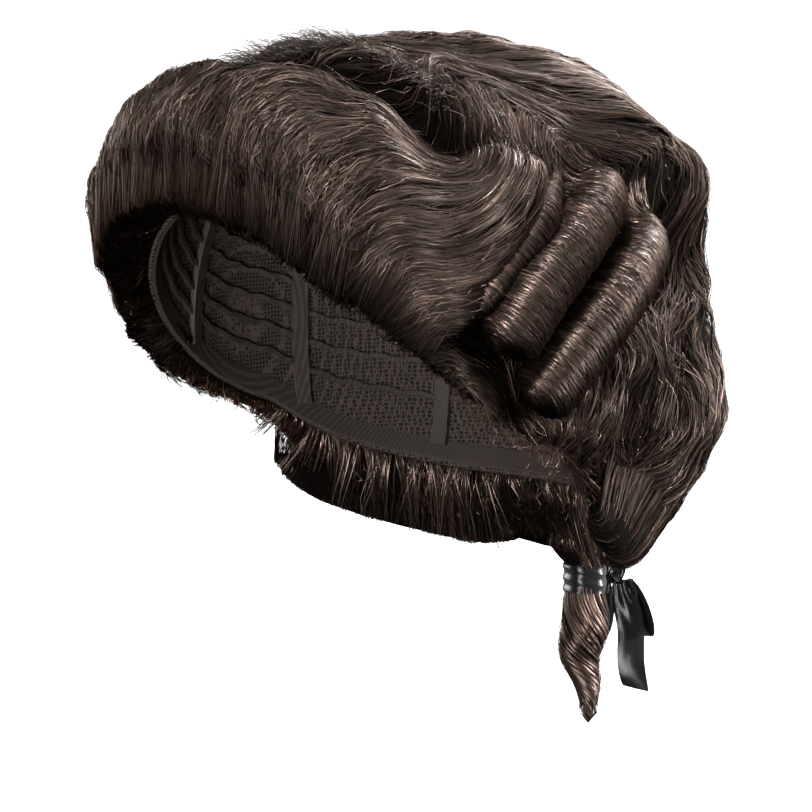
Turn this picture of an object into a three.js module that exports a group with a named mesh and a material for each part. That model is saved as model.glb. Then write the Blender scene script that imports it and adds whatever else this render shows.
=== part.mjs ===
// A man's dark brown queue wig of the eighteenth-century style: a net cap that carries a full front
// roll, waved sides, two slanted side curls over each ear, a waved back that turns up at the nape, and
// a short queue tied with a black ribbon. Millimetres, +Z up, the face looks towards -Y and the
// wearer's left is +X. The origin is the inside of the cap's crown, where it sits on the head's top.
import * as THREE from "three";

// The head that the cap fits: half axes of an egg whose centre lies HEAD_ABOVE under the origin.
const HEAD_HALF_WIDTH = 78;
const HEAD_HALF_LENGTH = 98;
const HEAD_ABOVE = 95;
const HEAD_BELOW = 118;

// Walls and clearances.
const CAP_WALL = 2;
const SEAT_GAP = 0.7;
const PIECE_GAP = 0.6;

// Thickness of the hair over the head: at the crown, and at its fullest in front, at the side and behind.
const CROWN_RISE = 15;
const FRONT_RISE = 36;
const SIDE_RISE = 24;
const BACK_RISE = 40;

// The depth and width of the valley behind the front roll, and the depth of the lesser waves.
const VALLEY_DEPTH = 8;
const VALLEY_WIDTH = 9;
const WAVE_DEPTH = 6;

// How far the hair's edge takes to round down to the cap, and how far the front roll overhangs it.
const EDGE_ROUND = 11;
const ROLL_OVERHANG = 7;

// Side curls, and the thinner hair that they lie on.
const CURL_RADIUS = 11;
const CURL_BED_RISE = 8;
const CURL_SEAT = 0.5;
const CURL_DISH = 6;
const CURL_STEPS = 10;
const BED_MARGIN = 6;

// The turned-up hair at the nape.
const NAPE_CURL_RADIUS = 11;
const NAPE_SEAT = 0.1;
const NAPE_CURL_RISE = { front: 18, back: 27 };

// The queue, from the nape to the end of its ringlet.
const QUEUE_TOP_RADIUS = 10;
const QUEUE_TOP_RISE = 33;
const QUEUE_LEAN = 9;
const QUEUE_LEAN_SHARE = 0.11;
const QUEUE_NECK_RADIUS = 7.5;
const QUEUE_RADIUS = 10;
const QUEUE_NECK_DROP = 15;
const QUEUE_DROP = 72;
const QUEUE_SWAY = 3.5;

// The ribbon: a band round the queue's neck with a knot, two loops and two tails behind it.
const RIBBON_WIDTH = 11;
const RIBBON_WALL = 1;
const RIBBON_SEAT = 0.3;
const KNOT_WIDTH = 11;
const KNOT_DEPTH = 9;
const LOOP_LENGTH = 24;
const LOOP_OPEN = 6;
const LOOP_DROOP = 12;
const TAIL_LENGTH = 40;
const TAIL_SPREAD = 7;

const HAIR = { color: 0x2f241c, roughness: 0.45, metalness: 0 };
const CAP_NET = { color: 0x241a15, roughness: 0.9, metalness: 0 };
const RIBBON = { color: 0x151619, roughness: 0.3, metalness: 0 };

// Angle from the crown down to the cap's edge, from the brow (azimuth 0) round to the nape (180).
const HAIRLINE = [
  { az: 0, polar: 57 },
  { az: 14, polar: 59 },
  { az: 26, polar: 64 },
  { az: 38, polar: 73 },
  { az: 49, polar: 82 },
  { az: 61, polar: 92 },
  { az: 76, polar: 103 },
  { az: 87, polar: 109 },
  { az: 99, polar: 113 },
  { az: 110, polar: 119 },
  { az: 124, polar: 124 },
  { az: 150, polar: 127 },
  { az: 180, polar: 127 },
];

// Angle from the crown down to the valley behind the front roll, which goes on round the head.
const CROWN_EDGE = [
  { az: 0, polar: 31 },
  { az: 20, polar: 29.5 },
  { az: 36, polar: 31 },
  { az: 59, polar: 37 },
  { az: 75, polar: 40 },
  { az: 92, polar: 44 },
  { az: 110, polar: 48 },
  { az: 132, polar: 54 },
  { az: 180, polar: 60 },
];

// Thickness by the angle from the crown, as a share of the way from the crown's to the fullest.
const PROFILE = [
  { polar: 0, front: 0, side: 0, back: 0 },
  { polar: 10, front: 0.07, side: 0.08, back: 0.1 },
  { polar: 20, front: 0.28, side: 0.25, back: 0.26 },
  { polar: 30, front: 0.65, side: 0.45, back: 0.5 },
  { polar: 38, front: 0.8, side: 0.65, back: 0.67 },
  { polar: 45, front: 0.94, side: 0.8, back: 0.77 },
  { polar: 54, front: 1, side: 0.92, back: 0.98 },
  { polar: 64, front: 0.88, side: 1, back: 1.06 },
  { polar: 72, front: 0.72, side: 1, back: 0.94 },
  { polar: 81, front: 0.5, side: 1, back: 0.73 },
  { polar: 91, front: 0.4, side: 0.95, back: 0.8 },
  { polar: 103, front: 0.3, side: 0.85, back: 1 },
  { polar: 115, front: 0.2, side: 0.8, back: 0.86 },
  { polar: 127, front: 0.2, side: 0.7, back: 0.7 },
];

// Lesser swells and hollows: centre and spread in degrees, rise as a share of the wave depth.
const SWELLS = [
  { az: 59, polar: 46, azSpread: 9, polarSpread: 7, rise: -1.1 },
  { az: 42, polar: 62, azSpread: 9, polarSpread: 6, rise: 0.5 },
  { az: 62, polar: 62, azSpread: 10, polarSpread: 5, rise: 0.9 },
  { az: 77, polar: 48, azSpread: 6, polarSpread: 9, rise: 0.9 },
  { az: 52, polar: 72, azSpread: 12, polarSpread: 4, rise: -0.6 },
  { az: 58, polar: 81, azSpread: 9, polarSpread: 4, rise: 0.4 },
  { az: 113, polar: 104, azSpread: 6, polarSpread: 8, rise: -1 },
  { az: 150, polar: 80, azSpread: 9, polarSpread: 5, rise: -0.4 },
  { az: 165, polar: 66, azSpread: 8, polarSpread: 5, rise: 0.4 },
  { az: 160, polar: 98, azSpread: 10, polarSpread: 6, rise: 0.5 },
  { az: 180, polar: 123, azSpread: 22, polarSpread: 13, rise: 2 },
];

// The front roll's section from the valley (0) over its crest to the hairline: how far along it
// and how full, then how far its tucked underside reaches of the overhang.
const ROLL_SECTION = [
  { along: 0, rise: 0.66, over: 0 },
  { along: 0.1, rise: 0.78, over: 0 },
  { along: 0.22, rise: 0.88, over: 0 },
  { along: 0.36, rise: 0.96, over: 0 },
  { along: 0.5, rise: 1, over: 0 },
  { along: 0.64, rise: 0.98, over: 0.1 },
  { along: 0.78, rise: 0.91, over: 0.3 },
  { along: 0.9, rise: 0.8, over: 0.65 },
  { along: 0.97, rise: 0.66, over: 0.95 },
  { along: 1, rise: 0.5, over: 1 },
  { along: 1, rise: 0.34, over: 0.8 },
  { along: 1, rise: 0.2, over: 0.35 },
  { along: 1, rise: 0.12, over: 0 },
];

// The side curls' middle lines over the head, from the low front end to the high back end.
const UPPER_CURL = [
  { az: 69, polar: 86.5 },
  { az: 80, polar: 75 },
  { az: 94, polar: 65 },
  { az: 109, polar: 57.5 },
];
const LOWER_CURL = [
  { az: 77, polar: 98.5 },
  { az: 91, polar: 86.5 },
  { az: 106, polar: 77 },
  { az: 122, polar: 69 },
];

// Where the pieces part round the head. All are whole steps of the same grid.
const GRID_STEP = 4;
const ROLL_END = 36;
const BED_START = 60;
const WAVE_END = 104;
const BACK_START = 132;
const NAPE_CURL_SPAN = { from: 105, to: 169 };

const DEG = Math.PI / 180;
const HEAD_CENTRE = new THREE.Vector3(0, 0, -HEAD_ABOVE);
const HAIR_FOOT = CAP_WALL + SEAT_GAP;
const MEAN_RADIUS = (HEAD_HALF_WIDTH + HEAD_HALF_LENGTH) / 2;
const HALF_GAP_ANGLE = PIECE_GAP / 2 / (MEAN_RADIUS * DEG);

const mix = (a, b, t) => a + (b - a) * t;
const smooth = (t) => THREE.MathUtils.smoothstep(t, 0, 1);
const turned = (az) => Math.abs(((((az + 180) % 360) + 360) % 360) - 180);

// A smooth curve through a table's rows, read in one column by another.
function readTable(rows, by, column, at) {
  const last = rows.length - 1;
  if (at <= rows[0][by]) return rows[0][column];
  if (at >= rows[last][by]) return rows[last][column];
  const i = rows.findIndex((row) => row[by] > at) - 1;
  const slope = (k) => {
    const before = rows[Math.max(k - 1, 0)];
    const after = rows[Math.min(k + 1, last)];
    return (after[column] - before[column]) / (after[by] - before[by]);
  };
  const span = rows[i + 1][by] - rows[i][by];
  const t = (at - rows[i][by]) / span;
  const rise = rows[i + 1][column] - rows[i][column];
  const start = slope(i) * span;
  const end = slope(i + 1) * span;
  return rows[i][column] + t * (start + t * (3 * rise - 2 * start - end + t * (start + end - 2 * rise)));
}

// A point over the head: azimuth from the face towards the wearer's left, polar angle from the crown.
function place(az, polar, height) {
  const way = new THREE.Vector3(
    Math.sin(polar * DEG) * Math.sin(az * DEG),
    -Math.sin(polar * DEG) * Math.cos(az * DEG),
    Math.cos(polar * DEG),
  );
  const tall = way.z > 0 ? HEAD_ABOVE : HEAD_BELOW;
  const radius = 1 / Math.hypot(way.x / HEAD_HALF_WIDTH, way.y / HEAD_HALF_LENGTH, way.z / tall);
  return way.multiplyScalar(radius + height).add(HEAD_CENTRE);
}

const hairline = (az) => readTable(HAIRLINE, "az", "polar", turned(az));
const crownEdge = (az) => readTable(CROWN_EDGE, "az", "polar", turned(az));

// A line beside a curl's middle line, a distance off to its upper side (or lower, if less than 0).
function besideCurl(table, distance) {
  const angle = distance / ((MEAN_RADIUS + CURL_BED_RISE + CURL_RADIUS) * DEG);
  const last = table.length - 1;
  const rows = table.map((row, k) => {
    const before = table[Math.max(k - 1, 0)];
    const after = table[Math.min(k + 1, last)];
    const squeeze = Math.sin(row.polar * DEG);
    const alongAz = (after.az - before.az) * squeeze;
    const alongPolar = after.polar - before.polar;
    const length = Math.hypot(alongAz, alongPolar);
    return {
      az: row.az + (alongPolar / length / squeeze) * angle,
      polar: row.polar - (alongAz / length) * angle,
    };
  });
  const lead = { az: 2 * rows[0].az - rows[1].az, polar: 2 * rows[0].polar - rows[1].polar };
  return [lead, ...rows];
}

const WAVE_FOOT = besideCurl(UPPER_CURL, CURL_RADIUS + 2 * PIECE_GAP);
const BED_FOOT = besideCurl(LOWER_CURL, -(CURL_RADIUS + 2 * PIECE_GAP));

// The side wave's lower edge, which runs out into the crown's edge behind the upper curl.
function waveFoot(az) {
  const a = turned(az);
  const foot = Math.min(hairline(a), readTable(WAVE_FOOT, "az", "polar", a));
  return mix(foot, crownEdge(a) + 1, smooth((a - 84) / (WAVE_END - 84)));
}

const bedTop = (az) => (turned(az) > WAVE_END ? crownEdge(az) : waveFoot(az));
const bedFoot = (az) =>
  Math.min(hairline(az) - 4, readTable(BED_FOOT, "az", "polar", turned(az)));

// The hair's thickness by the profile and its swells, before any edge or valley.
function fullness(az, polar) {
  const a = turned(az);
  const toSide = smooth((a - 34) / 30);
  const toBack = smooth((a - 100) / 34);
  const front = mix(CROWN_RISE, FRONT_RISE, readTable(PROFILE, "polar", "front", polar));
  const side = mix(CROWN_RISE, SIDE_RISE, readTable(PROFILE, "polar", "side", polar));
  const back = mix(CROWN_RISE, BACK_RISE, readTable(PROFILE, "polar", "back", polar));
  const swell = SWELLS.reduce((sum, s) => {
    const across = (a - s.az) / s.azSpread;
    const down = (polar - s.polar) / s.polarSpread;
    return sum + s.rise * Math.exp(-0.5 * (across * across + down * down));
  }, 0);
  return mix(mix(front, side, toSide), back, toBack) + WAVE_DEPTH * swell;
}

// A side curl's middle line, at its height over the bed.
function curlLine(table) {
  const rows = table.map((row, k) => ({ ...row, share: k / (table.length - 1) }));
  return Array.from({ length: CURL_STEPS + 1 }, (_, k) =>
    place(
      readTable(rows, "share", "az", k / CURL_STEPS),
      readTable(rows, "share", "polar", k / CURL_STEPS),
      CURL_BED_RISE + CURL_SEAT + CURL_RADIUS,
    ),
  );
}

const CURL_LINES = [curlLine(UPPER_CURL), curlLine(LOWER_CURL)];

// How much thinner the hair is on the curls' bed: 1 under the curls, 0 away from them.
function bedShare(az, polar) {
  const a = turned(az);
  if (a < BED_START - 1 || polar < bedTop(a)) return 0;
  const point = place(a, polar, CURL_BED_RISE + CURL_SEAT + CURL_RADIUS);
  const nearest = Math.min(...CURL_LINES.flat().map((middle) => middle.distanceTo(point)));
  const away = smooth((nearest - CURL_RADIUS - BED_MARGIN) / BED_MARGIN);
  const past = smooth((polar - bedFoot(a)) / 3);
  return (1 - away) * (1 - past);
}

// The whole thickness: fullness with the valley behind the roll, the curls' bed and a rounded edge.
function thickness(az, polar) {
  const a = turned(az);
  const arc = MEAN_RADIUS * DEG;
  const fromValley = ((polar - crownEdge(a)) * arc) / VALLEY_WIDTH;
  const depth = VALLEY_DEPTH * (1 - 0.7 * smooth((a - 90) / 40));
  const full = fullness(a, polar) - depth * Math.exp(-fromValley * fromValley);
  const hair = mix(full, CURL_BED_RISE, bedShare(a, polar));
  const fromEdge = THREE.MathUtils.clamp(((hairline(a) - polar) * arc) / EDGE_ROUND, 0, 1);
  const atEdge = mix(0.45, 0.85, smooth((a - 112) / 30));
  return Math.max(HAIR_FOOT + 1, hair * mix(atEdge, 1, Math.sqrt(fromEdge)));
}

function solidFrom(points, faces) {
  const geometry = new THREE.BufferGeometry();
  geometry.setFromPoints(points);
  geometry.setIndex(faces);
  geometry.computeVertexNormals();
  return geometry;
}

// A closed wall between two like grids of points, the first of them outside.
function wallSolid(outer, inner) {
  const rows = outer.length;
  const columns = outer[0].length;
  const faces = [];
  const at = (side, i, j) => (side * rows + i) * columns + j;
  const quad = (a, b, c, d) => faces.push(a, b, c, a, c, d);
  for (let i = 0; i < rows - 1; i++) {
    for (let j = 0; j < columns - 1; j++) {
      quad(at(0, i, j), at(0, i, j + 1), at(0, i + 1, j + 1), at(0, i + 1, j));
      quad(at(1, i, j), at(1, i + 1, j), at(1, i + 1, j + 1), at(1, i, j + 1));
    }
    const j = columns - 1;
    quad(at(0, i, 0), at(0, i + 1, 0), at(1, i + 1, 0), at(1, i, 0));
    quad(at(0, i, j), at(1, i, j), at(1, i + 1, j), at(0, i + 1, j));
  }
  for (let j = 0; j < columns - 1; j++) {
    const i = rows - 1;
    quad(at(0, 0, j), at(1, 0, j), at(1, 0, j + 1), at(0, 0, j + 1));
    quad(at(0, i, j), at(0, i, j + 1), at(1, i, j + 1), at(1, i, j));
  }
  return solidFrom([...outer.flat(), ...inner.flat()], faces);
}

// A closed solid through rings of points, each end closed on a middle point.
function ringSolid(rings, firstMiddle, lastMiddle) {
  const count = rings[0].length;
  const first = rings.length * count;
  const faces = [];
  const at = (i, j) => i * count + (j % count);
  for (let j = 0; j < count; j++) {
    for (let i = 0; i < rings.length - 1; i++) {
      faces.push(at(i, j), at(i, j + 1), at(i + 1, j + 1));
      faces.push(at(i, j), at(i + 1, j + 1), at(i + 1, j));
    }
    faces.push(first, at(0, j + 1), at(0, j));
    faces.push(first + 1, at(rings.length - 1, j), at(rings.length - 1, j + 1));
  }
  return solidFrom([...rings.flat(), firstMiddle, lastMiddle], faces);
}

// A dome from the crown down to an edge, between an inner and an outer height.
function domeSolid({ edge, outer, inner, spokes, outerRings, innerRings }) {
  const ring = (share, height) =>
    Array.from({ length: spokes }, (_, k) => {
      const az = -(k / spokes) * 360;
      return place(az, edge(az) * share, height(az, edge(az) * share));
    });
  const rings = [];
  for (let i = 1; i <= outerRings; i++) rings.push(ring(i / outerRings, outer));
  for (let i = innerRings; i >= 1; i--) rings.push(ring(i / innerRings, inner));
  return ringSolid(rings, place(0, 0, outer(0, 0)), place(0, 0, inner(0, 0)));
}

// A patch of hair on the cap between two azimuths and two edges. Half of its columns lie above the
// line called middle, where there is one. The outside follows the thickness, or a function of the
// azimuth and the share of the way down.
function hairPatch({ from, to, top, middle, bottom, columns, outside }) {
  const rows = Math.round((to - from) / GRID_STEP);
  const outer = [];
  const inner = [];
  for (let i = 0; i <= rows; i++) {
    const az = mix(from, to, i / rows) + (i === 0 ? 1 : i === rows ? -1 : 0) * HALF_GAP_ANGLE;
    const shares = Array.from({ length: columns + 1 }, (_, j) => j / columns);
    const high = top(az) + HALF_GAP_ANGLE;
    const low = bottom(az) - HALF_GAP_ANGLE;
    const half = middle ? middle(az) : (high + low) / 2;
    const polarAt = (share) =>
      share < 0.5 ? mix(high, half, share * 2) : mix(half, low, share * 2 - 1);
    const onHair = (share) => place(az, polarAt(share), thickness(az, polarAt(share)));
    outer.push(shares.map((share) => (outside ? outside(az, share) : onHair(share))));
    inner.push(shares.map((share) => place(az, polarAt(share), HAIR_FOOT)));
  }
  return wallSolid(outer, inner);
}

// A point on the front roll: its section by the share of the way down, with its tucked underside.
function onRoll(az, share) {
  const last = ROLL_SECTION.length - 1;
  const k = Math.min(Math.floor(share * last), last - 1);
  const t = share * last - k;
  const read = (column) => mix(ROLL_SECTION[k][column], ROLL_SECTION[k + 1][column], t);
  const full = mix(FRONT_RISE, fullness(az, hairline(az) * 0.8), smooth((turned(az) - 22) / 40));
  const height = Math.max(HAIR_FOOT + 0.6, full * read("rise"));
  const reach = ROLL_OVERHANG / ((MEAN_RADIUS + height) * DEG);
  const fade = 1 - 0.8 * smooth(turned(az) / ROLL_END);
  const top = crownEdge(az) + HALF_GAP_ANGLE;
  const bottom = hairline(az) - HALF_GAP_ANGLE;
  return place(az, mix(top, bottom, read("along")) + reach * fade * read("over"), height);
}

// The same solid on the wearer's other side.
function mirrored(geometry) {
  const other = geometry.clone().scale(-1, 1, 1);
  const index = other.index.array;
  for (let i = 0; i < index.length; i += 3) {
    [index[i + 1], index[i + 2]] = [index[i + 2], index[i + 1]];
  }
  return other;
}

const capSolid = () =>
  domeSolid({
    edge: hairline,
    outer: () => CAP_WALL,
    inner: () => 0,
    spokes: 36,
    outerRings: 8,
    innerRings: 8,
  });

const crownHair = () =>
  domeSolid({
    edge: (az) => crownEdge(az) - HALF_GAP_ANGLE,
    outer: thickness,
    inner: () => HAIR_FOOT,
    spokes: 45,
    outerRings: 8,
    innerRings: 7,
  });

const frontRoll = () =>
  hairPatch({
    from: -ROLL_END,
    to: ROLL_END,
    top: crownEdge,
    bottom: hairline,
    columns: ROLL_SECTION.length - 1,
    outside: onRoll,
  });

const sideWave = () =>
  hairPatch({ from: ROLL_END, to: WAVE_END, top: crownEdge, bottom: waveFoot, columns: 9 });

const sideHair = () =>
  hairPatch({
    from: BED_START,
    to: BACK_START,
    top: bedTop,
    middle: bedFoot,
    bottom: hairline,
    columns: 10,
  });

const backHair = () =>
  hairPatch({
    from: BACK_START,
    to: 360 - BACK_START,
    top: crownEdge,
    bottom: hairline,
    columns: 13,
  });

// A ring of points round a middle, in the plane of two directions.
const ringAt = (middle, across, up, radius, sides) =>
  Array.from({ length: sides }, (_, j) => {
    const turn = (j / sides) * 2 * Math.PI;
    return middle
      .clone()
      .addScaledVector(across, Math.cos(turn) * radius)
      .addScaledVector(up, Math.sin(turn) * radius);
  });

// Rings of points square to a line of middle points, each with its own radius.
function roundAlong(middles, radii, sides) {
  const last = middles.length - 1;
  let side = null;
  return middles.map((middle, k) => {
    const way = middles[Math.min(k + 1, last)].clone().sub(middles[Math.max(k - 1, 0)]).normalize();
    const start = Math.abs(way.x) < 0.9 ? new THREE.Vector3(1, 0, 0) : new THREE.Vector3(0, 1, 0);
    side = (side ?? start).addScaledVector(way, -(side ?? start).dot(way)).normalize().clone();
    return ringAt(middle, side, way.clone().cross(side), radii[k], sides);
  });
}

// A ring of points drawn in towards its middle, and moved along.
function drawnIn(ring, share, shift) {
  const middle = ring.reduce((sum, p) => sum.add(p), new THREE.Vector3()).divideScalar(ring.length);
  return ring.map((p) => p.clone().sub(middle).multiplyScalar(share).add(middle).add(shift));
}

// A roll of hair along a line: a barrel whose ends are dished where its turns show.
function rolledCurl(line, radius, steps, sides) {
  const radii = line.map((_, k) => radius * (0.86 + 0.14 * Math.sin((Math.PI * k) / steps)));
  const rings = roundAlong(line, radii, sides);
  const inAtStart = line[1].clone().sub(line[0]).setLength(CURL_DISH);
  const inAtEnd = line[steps - 1].clone().sub(line[steps]).setLength(CURL_DISH);
  const none = new THREE.Vector3();
  const all = [
    drawnIn(rings[0], 0.45, inAtStart),
    drawnIn(rings[0], 0.65, none),
    ...rings,
    drawnIn(rings[steps], 0.65, none),
    drawnIn(rings[steps], 0.45, inAtEnd),
  ];
  return ringSolid(all, line[0].clone().add(inAtStart), line[steps].clone().add(inAtEnd));
}

const sideCurl = (line) => rolledCurl(line, CURL_RADIUS, CURL_STEPS, 12);

// A point under the hair's lower edge, where a round body of that radius meets it.
function underEdge(az, rise, radius) {
  const out = place(az, hairline(az), rise).distanceTo(HEAD_CENTRE);
  const below = Math.asin((radius + NAPE_SEAT) / out) / DEG;
  return place(az, hairline(az) + below, rise);
}

function napeCurl() {
  const steps = 12;
  const line = Array.from({ length: steps + 1 }, (_, k) => {
    const az = mix(NAPE_CURL_SPAN.from, NAPE_CURL_SPAN.to, k / steps);
    const rise = mix(NAPE_CURL_RISE.front, NAPE_CURL_RISE.back, smooth(k / steps));
    return underEdge(az, rise, NAPE_CURL_RADIUS);
  });
  return rolledCurl(line, NAPE_CURL_RADIUS, steps, 12);
}

// The queue's middle line by the share of its drop: a straight neck, then a ringlet that sways round.
const QUEUE_TOP = underEdge(180, QUEUE_TOP_RISE, QUEUE_TOP_RADIUS);
function onQueue(share) {
  const loose = smooth((share * QUEUE_DROP - QUEUE_NECK_DROP) / (QUEUE_DROP - QUEUE_NECK_DROP));
  const turn = loose * 2.5 * Math.PI;
  return new THREE.Vector3(
    Math.sin(turn) * QUEUE_SWAY * loose,
    QUEUE_TOP.y + smooth(share / QUEUE_LEAN_SHARE) * QUEUE_LEAN - (1 - Math.cos(turn)) * QUEUE_SWAY * loose * 0.5,
    QUEUE_TOP.z - share * QUEUE_DROP,
  );
}

// How thick the queue is down its drop.
function queueRadius(share) {
  const drop = share * QUEUE_DROP;
  const neck = Math.exp(-(((drop - QUEUE_NECK_DROP) / RIBBON_WIDTH) ** 2));
  const body = mix(QUEUE_TOP_RADIUS, QUEUE_RADIUS, smooth((drop - QUEUE_NECK_DROP) / 10));
  const taper = 1 - 0.62 * smooth((share - 0.5) / 0.5);
  return mix(body * taper, QUEUE_NECK_RADIUS, neck);
}

function queueSolid() {
  const steps = 18;
  const shares = Array.from({ length: steps + 1 }, (_, k) => k / steps);
  const line = shares.map(onQueue);
  const across = new THREE.Vector3(1, 0, 0);
  const back = new THREE.Vector3(0, -1, 0);
  const rings = line.map((middle, k) => ringAt(middle, across, back, queueRadius(shares[k]), 12));
  const dome = [0.3, 0.6, 0.85].map((round) => {
    const lift = new THREE.Vector3(0, 0, QUEUE_TOP_RADIUS * Math.sqrt(1 - round * round));
    return drawnIn(rings[0], round, lift);
  });
  const top = line[0].clone().add(new THREE.Vector3(0, 0, QUEUE_TOP_RADIUS));
  const tip = line[steps].clone().add(new THREE.Vector3(0, 0, -queueRadius(1) / 2));
  return ringSolid([...dome, ...rings], top, tip);
}

const NECK = onQueue(QUEUE_NECK_DROP / QUEUE_DROP);
const BAND_INSIDE = queueRadius((QUEUE_NECK_DROP + RIBBON_WIDTH / 2) / QUEUE_DROP) + RIBBON_SEAT;
const KNOT_MIDDLE = NECK.y + BAND_INSIDE + RIBBON_WALL + RIBBON_SEAT + KNOT_DEPTH / 2;
const TAIL_LAYER = NECK.y + QUEUE_RADIUS + QUEUE_SWAY + RIBBON_WALL;

// The band's section stands on the queue's neck, and turns round it.
function ribbonBand() {
  const half = RIBBON_WIDTH / 2;
  const section = [
    new THREE.Vector2(BAND_INSIDE, -half),
    new THREE.Vector2(BAND_INSIDE + RIBBON_WALL, -half),
    new THREE.Vector2(BAND_INSIDE + RIBBON_WALL, half),
    new THREE.Vector2(BAND_INSIDE, half),
    new THREE.Vector2(BAND_INSIDE, -half),
  ];
  return new THREE.LatheGeometry(section, 24).rotateX(Math.PI / 2).translate(0, NECK.y, NECK.z);
}

function bowKnot() {
  const line = [-0.5, -0.3, 0, 0.3, 0.5].map(
    (t) => new THREE.Vector3(t * KNOT_WIDTH, KNOT_MIDDLE, NECK.z),
  );
  const radii = [0.75, 0.95, 1, 0.95, 0.75].map((share) => (share * KNOT_DEPTH) / 2);
  return ringSolid(roundAlong(line, radii, 12), line[0], line[4]);
}

// A strip of ribbon along a line of points, as wide as the ribbon in the given direction.
function ribbonStrip(line, wide) {
  const last = line.length - 1;
  const outer = [];
  const inner = [];
  line.forEach((point, k) => {
    const way = line[Math.min(k + 1, last)].clone().sub(line[Math.max(k - 1, 0)]).normalize();
    const across = wide.clone().addScaledVector(way, -wide.dot(way)).normalize();
    const face = way.clone().cross(across);
    const at = (sideways, out) =>
      point
        .clone()
        .addScaledVector(across, (sideways * RIBBON_WIDTH) / 2)
        .addScaledVector(face, (out * RIBBON_WALL) / 2);
    outer.push([at(-1, 1), at(0, 1), at(1, 1)]);
    inner.push([at(-1, -1), at(0, -1), at(1, -1)]);
  });
  return wallSolid(inner, outer);
}

// A loop of the bow, which droops from the knot's side: out along its rear and back along its front.
function bowLoop() {
  const steps = 14;
  const out = new THREE.Vector3(Math.sin(LOOP_DROOP * DEG), 0, -Math.cos(LOOP_DROOP * DEG));
  const across = new THREE.Vector3(Math.cos(LOOP_DROOP * DEG), 0, Math.sin(LOOP_DROOP * DEG));
  const root = new THREE.Vector3(
    KNOT_WIDTH / 2 + RIBBON_SEAT,
    TAIL_LAYER + 2.5 * RIBBON_WALL,
    NECK.z - KNOT_DEPTH / 2 + RIBBON_WALL,
  );
  const line = Array.from({ length: steps + 1 }, (_, k) => {
    const turn = (k / steps) * 2 * Math.PI;
    const reach = (LOOP_LENGTH * (1 - Math.cos(turn))) / 2;
    const bulge = Math.sin(turn) * (LOOP_OPEN / 2) * Math.sqrt(reach / LOOP_LENGTH);
    const split = RIBBON_WALL * Math.cos(turn / 2);
    const back = new THREE.Vector3(0, bulge + split + (LOOP_OPEN / 2) * (reach / LOOP_LENGTH), 0);
    return root.clone().addScaledVector(out, reach).add(back);
  });
  return ribbonStrip(line, across);
}

// A tail of the ribbon, which hangs from under the knot clear of the queue.
function ribbonTail() {
  const steps = 12;
  const line = Array.from({ length: steps + 1 }, (_, k) => {
    const t = k / steps;
    return new THREE.Vector3(
      (RIBBON_WIDTH + PIECE_GAP) / 2 + TAIL_SPREAD * t,
      mix(KNOT_MIDDLE, TAIL_LAYER, smooth(t * 4)),
      NECK.z - (KNOT_DEPTH + RIBBON_WALL) / 2 - t * TAIL_LENGTH,
    );
  });
  return ribbonStrip(line, new THREE.Vector3(1, 0, 0));
}

const group = new THREE.Group();

function add(name, geometry, material) {
  const mesh = new THREE.Mesh(geometry, new THREE.MeshStandardMaterial(material));
  mesh.name = name;
  group.add(mesh);
}

function addPair(name, geometry, material) {
  add(`${name}_left`, geometry, material);
  add(`${name}_right`, mirrored(geometry), material);
}

add("cap", capSolid(), CAP_NET);
add("crown_hair", crownHair(), HAIR);
add("front_roll", frontRoll(), HAIR);
addPair("side_wave", sideWave(), HAIR);
addPair("side_hair", sideHair(), HAIR);
addPair("upper_curl", sideCurl(CURL_LINES[0]), HAIR);
addPair("lower_curl", sideCurl(CURL_LINES[1]), HAIR);
add("back_hair", backHair(), HAIR);
addPair("nape_curl", napeCurl(), HAIR);
add("queue", queueSolid(), HAIR);
add("ribbon_band", ribbonBand(), RIBBON);
add("bow_knot", bowKnot(), RIBBON);
addPair("bow_loop", bowLoop(), RIBBON);
addPair("ribbon_tail", ribbonTail(), RIBBON);

export default group;
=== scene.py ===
"""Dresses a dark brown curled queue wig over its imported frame, strand by strand.

Metres, +Z up. The face looks towards -Y and the wearer's left is +X. The origin is the inside of the
cap's crown. A place on the wig is an azimuth, from the face round to the wearer's left, and a polar
angle from the crown, both in degrees and both seen from the middle of the head.
"""
import math

import bpy
import numpy as np
from mathutils import Matrix, Vector
from mathutils.bvhtree import BVHTree


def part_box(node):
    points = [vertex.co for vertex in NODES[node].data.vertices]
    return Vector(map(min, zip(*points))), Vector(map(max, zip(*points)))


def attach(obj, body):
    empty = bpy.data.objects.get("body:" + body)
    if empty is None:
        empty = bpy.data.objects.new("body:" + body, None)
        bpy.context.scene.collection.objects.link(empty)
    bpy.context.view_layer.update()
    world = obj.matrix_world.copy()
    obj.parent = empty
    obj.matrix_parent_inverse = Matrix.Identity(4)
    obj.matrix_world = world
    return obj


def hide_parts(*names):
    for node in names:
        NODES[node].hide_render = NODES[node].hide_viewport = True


bl_info = {
    "name": "Curled queue wig",
    "version": (1, 0, 0),
    "blender": (4, 5, 0),
    "location": "View3D > Sidebar > Wig",
    "description": "Dresses a dark brown curled queue wig over its packed frame",
    "category": "Add Mesh",
}

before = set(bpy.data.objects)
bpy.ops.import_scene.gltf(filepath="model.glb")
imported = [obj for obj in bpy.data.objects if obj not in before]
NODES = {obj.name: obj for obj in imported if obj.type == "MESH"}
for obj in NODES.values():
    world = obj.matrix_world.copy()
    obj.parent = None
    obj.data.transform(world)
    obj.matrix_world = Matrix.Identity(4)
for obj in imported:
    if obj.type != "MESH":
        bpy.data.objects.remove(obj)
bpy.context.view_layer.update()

MM = 0.001

# The head that the cap fits, as in the part's source.
HEAD_HALF_WIDTH = 78 * MM
HEAD_HALF_LENGTH = 98 * MM
HEAD_ABOVE = 95 * MM
HEAD_BELOW = 118 * MM
HEAD_MIDDLE = np.array([0.0, 0.0, -HEAD_ABOVE])

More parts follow.
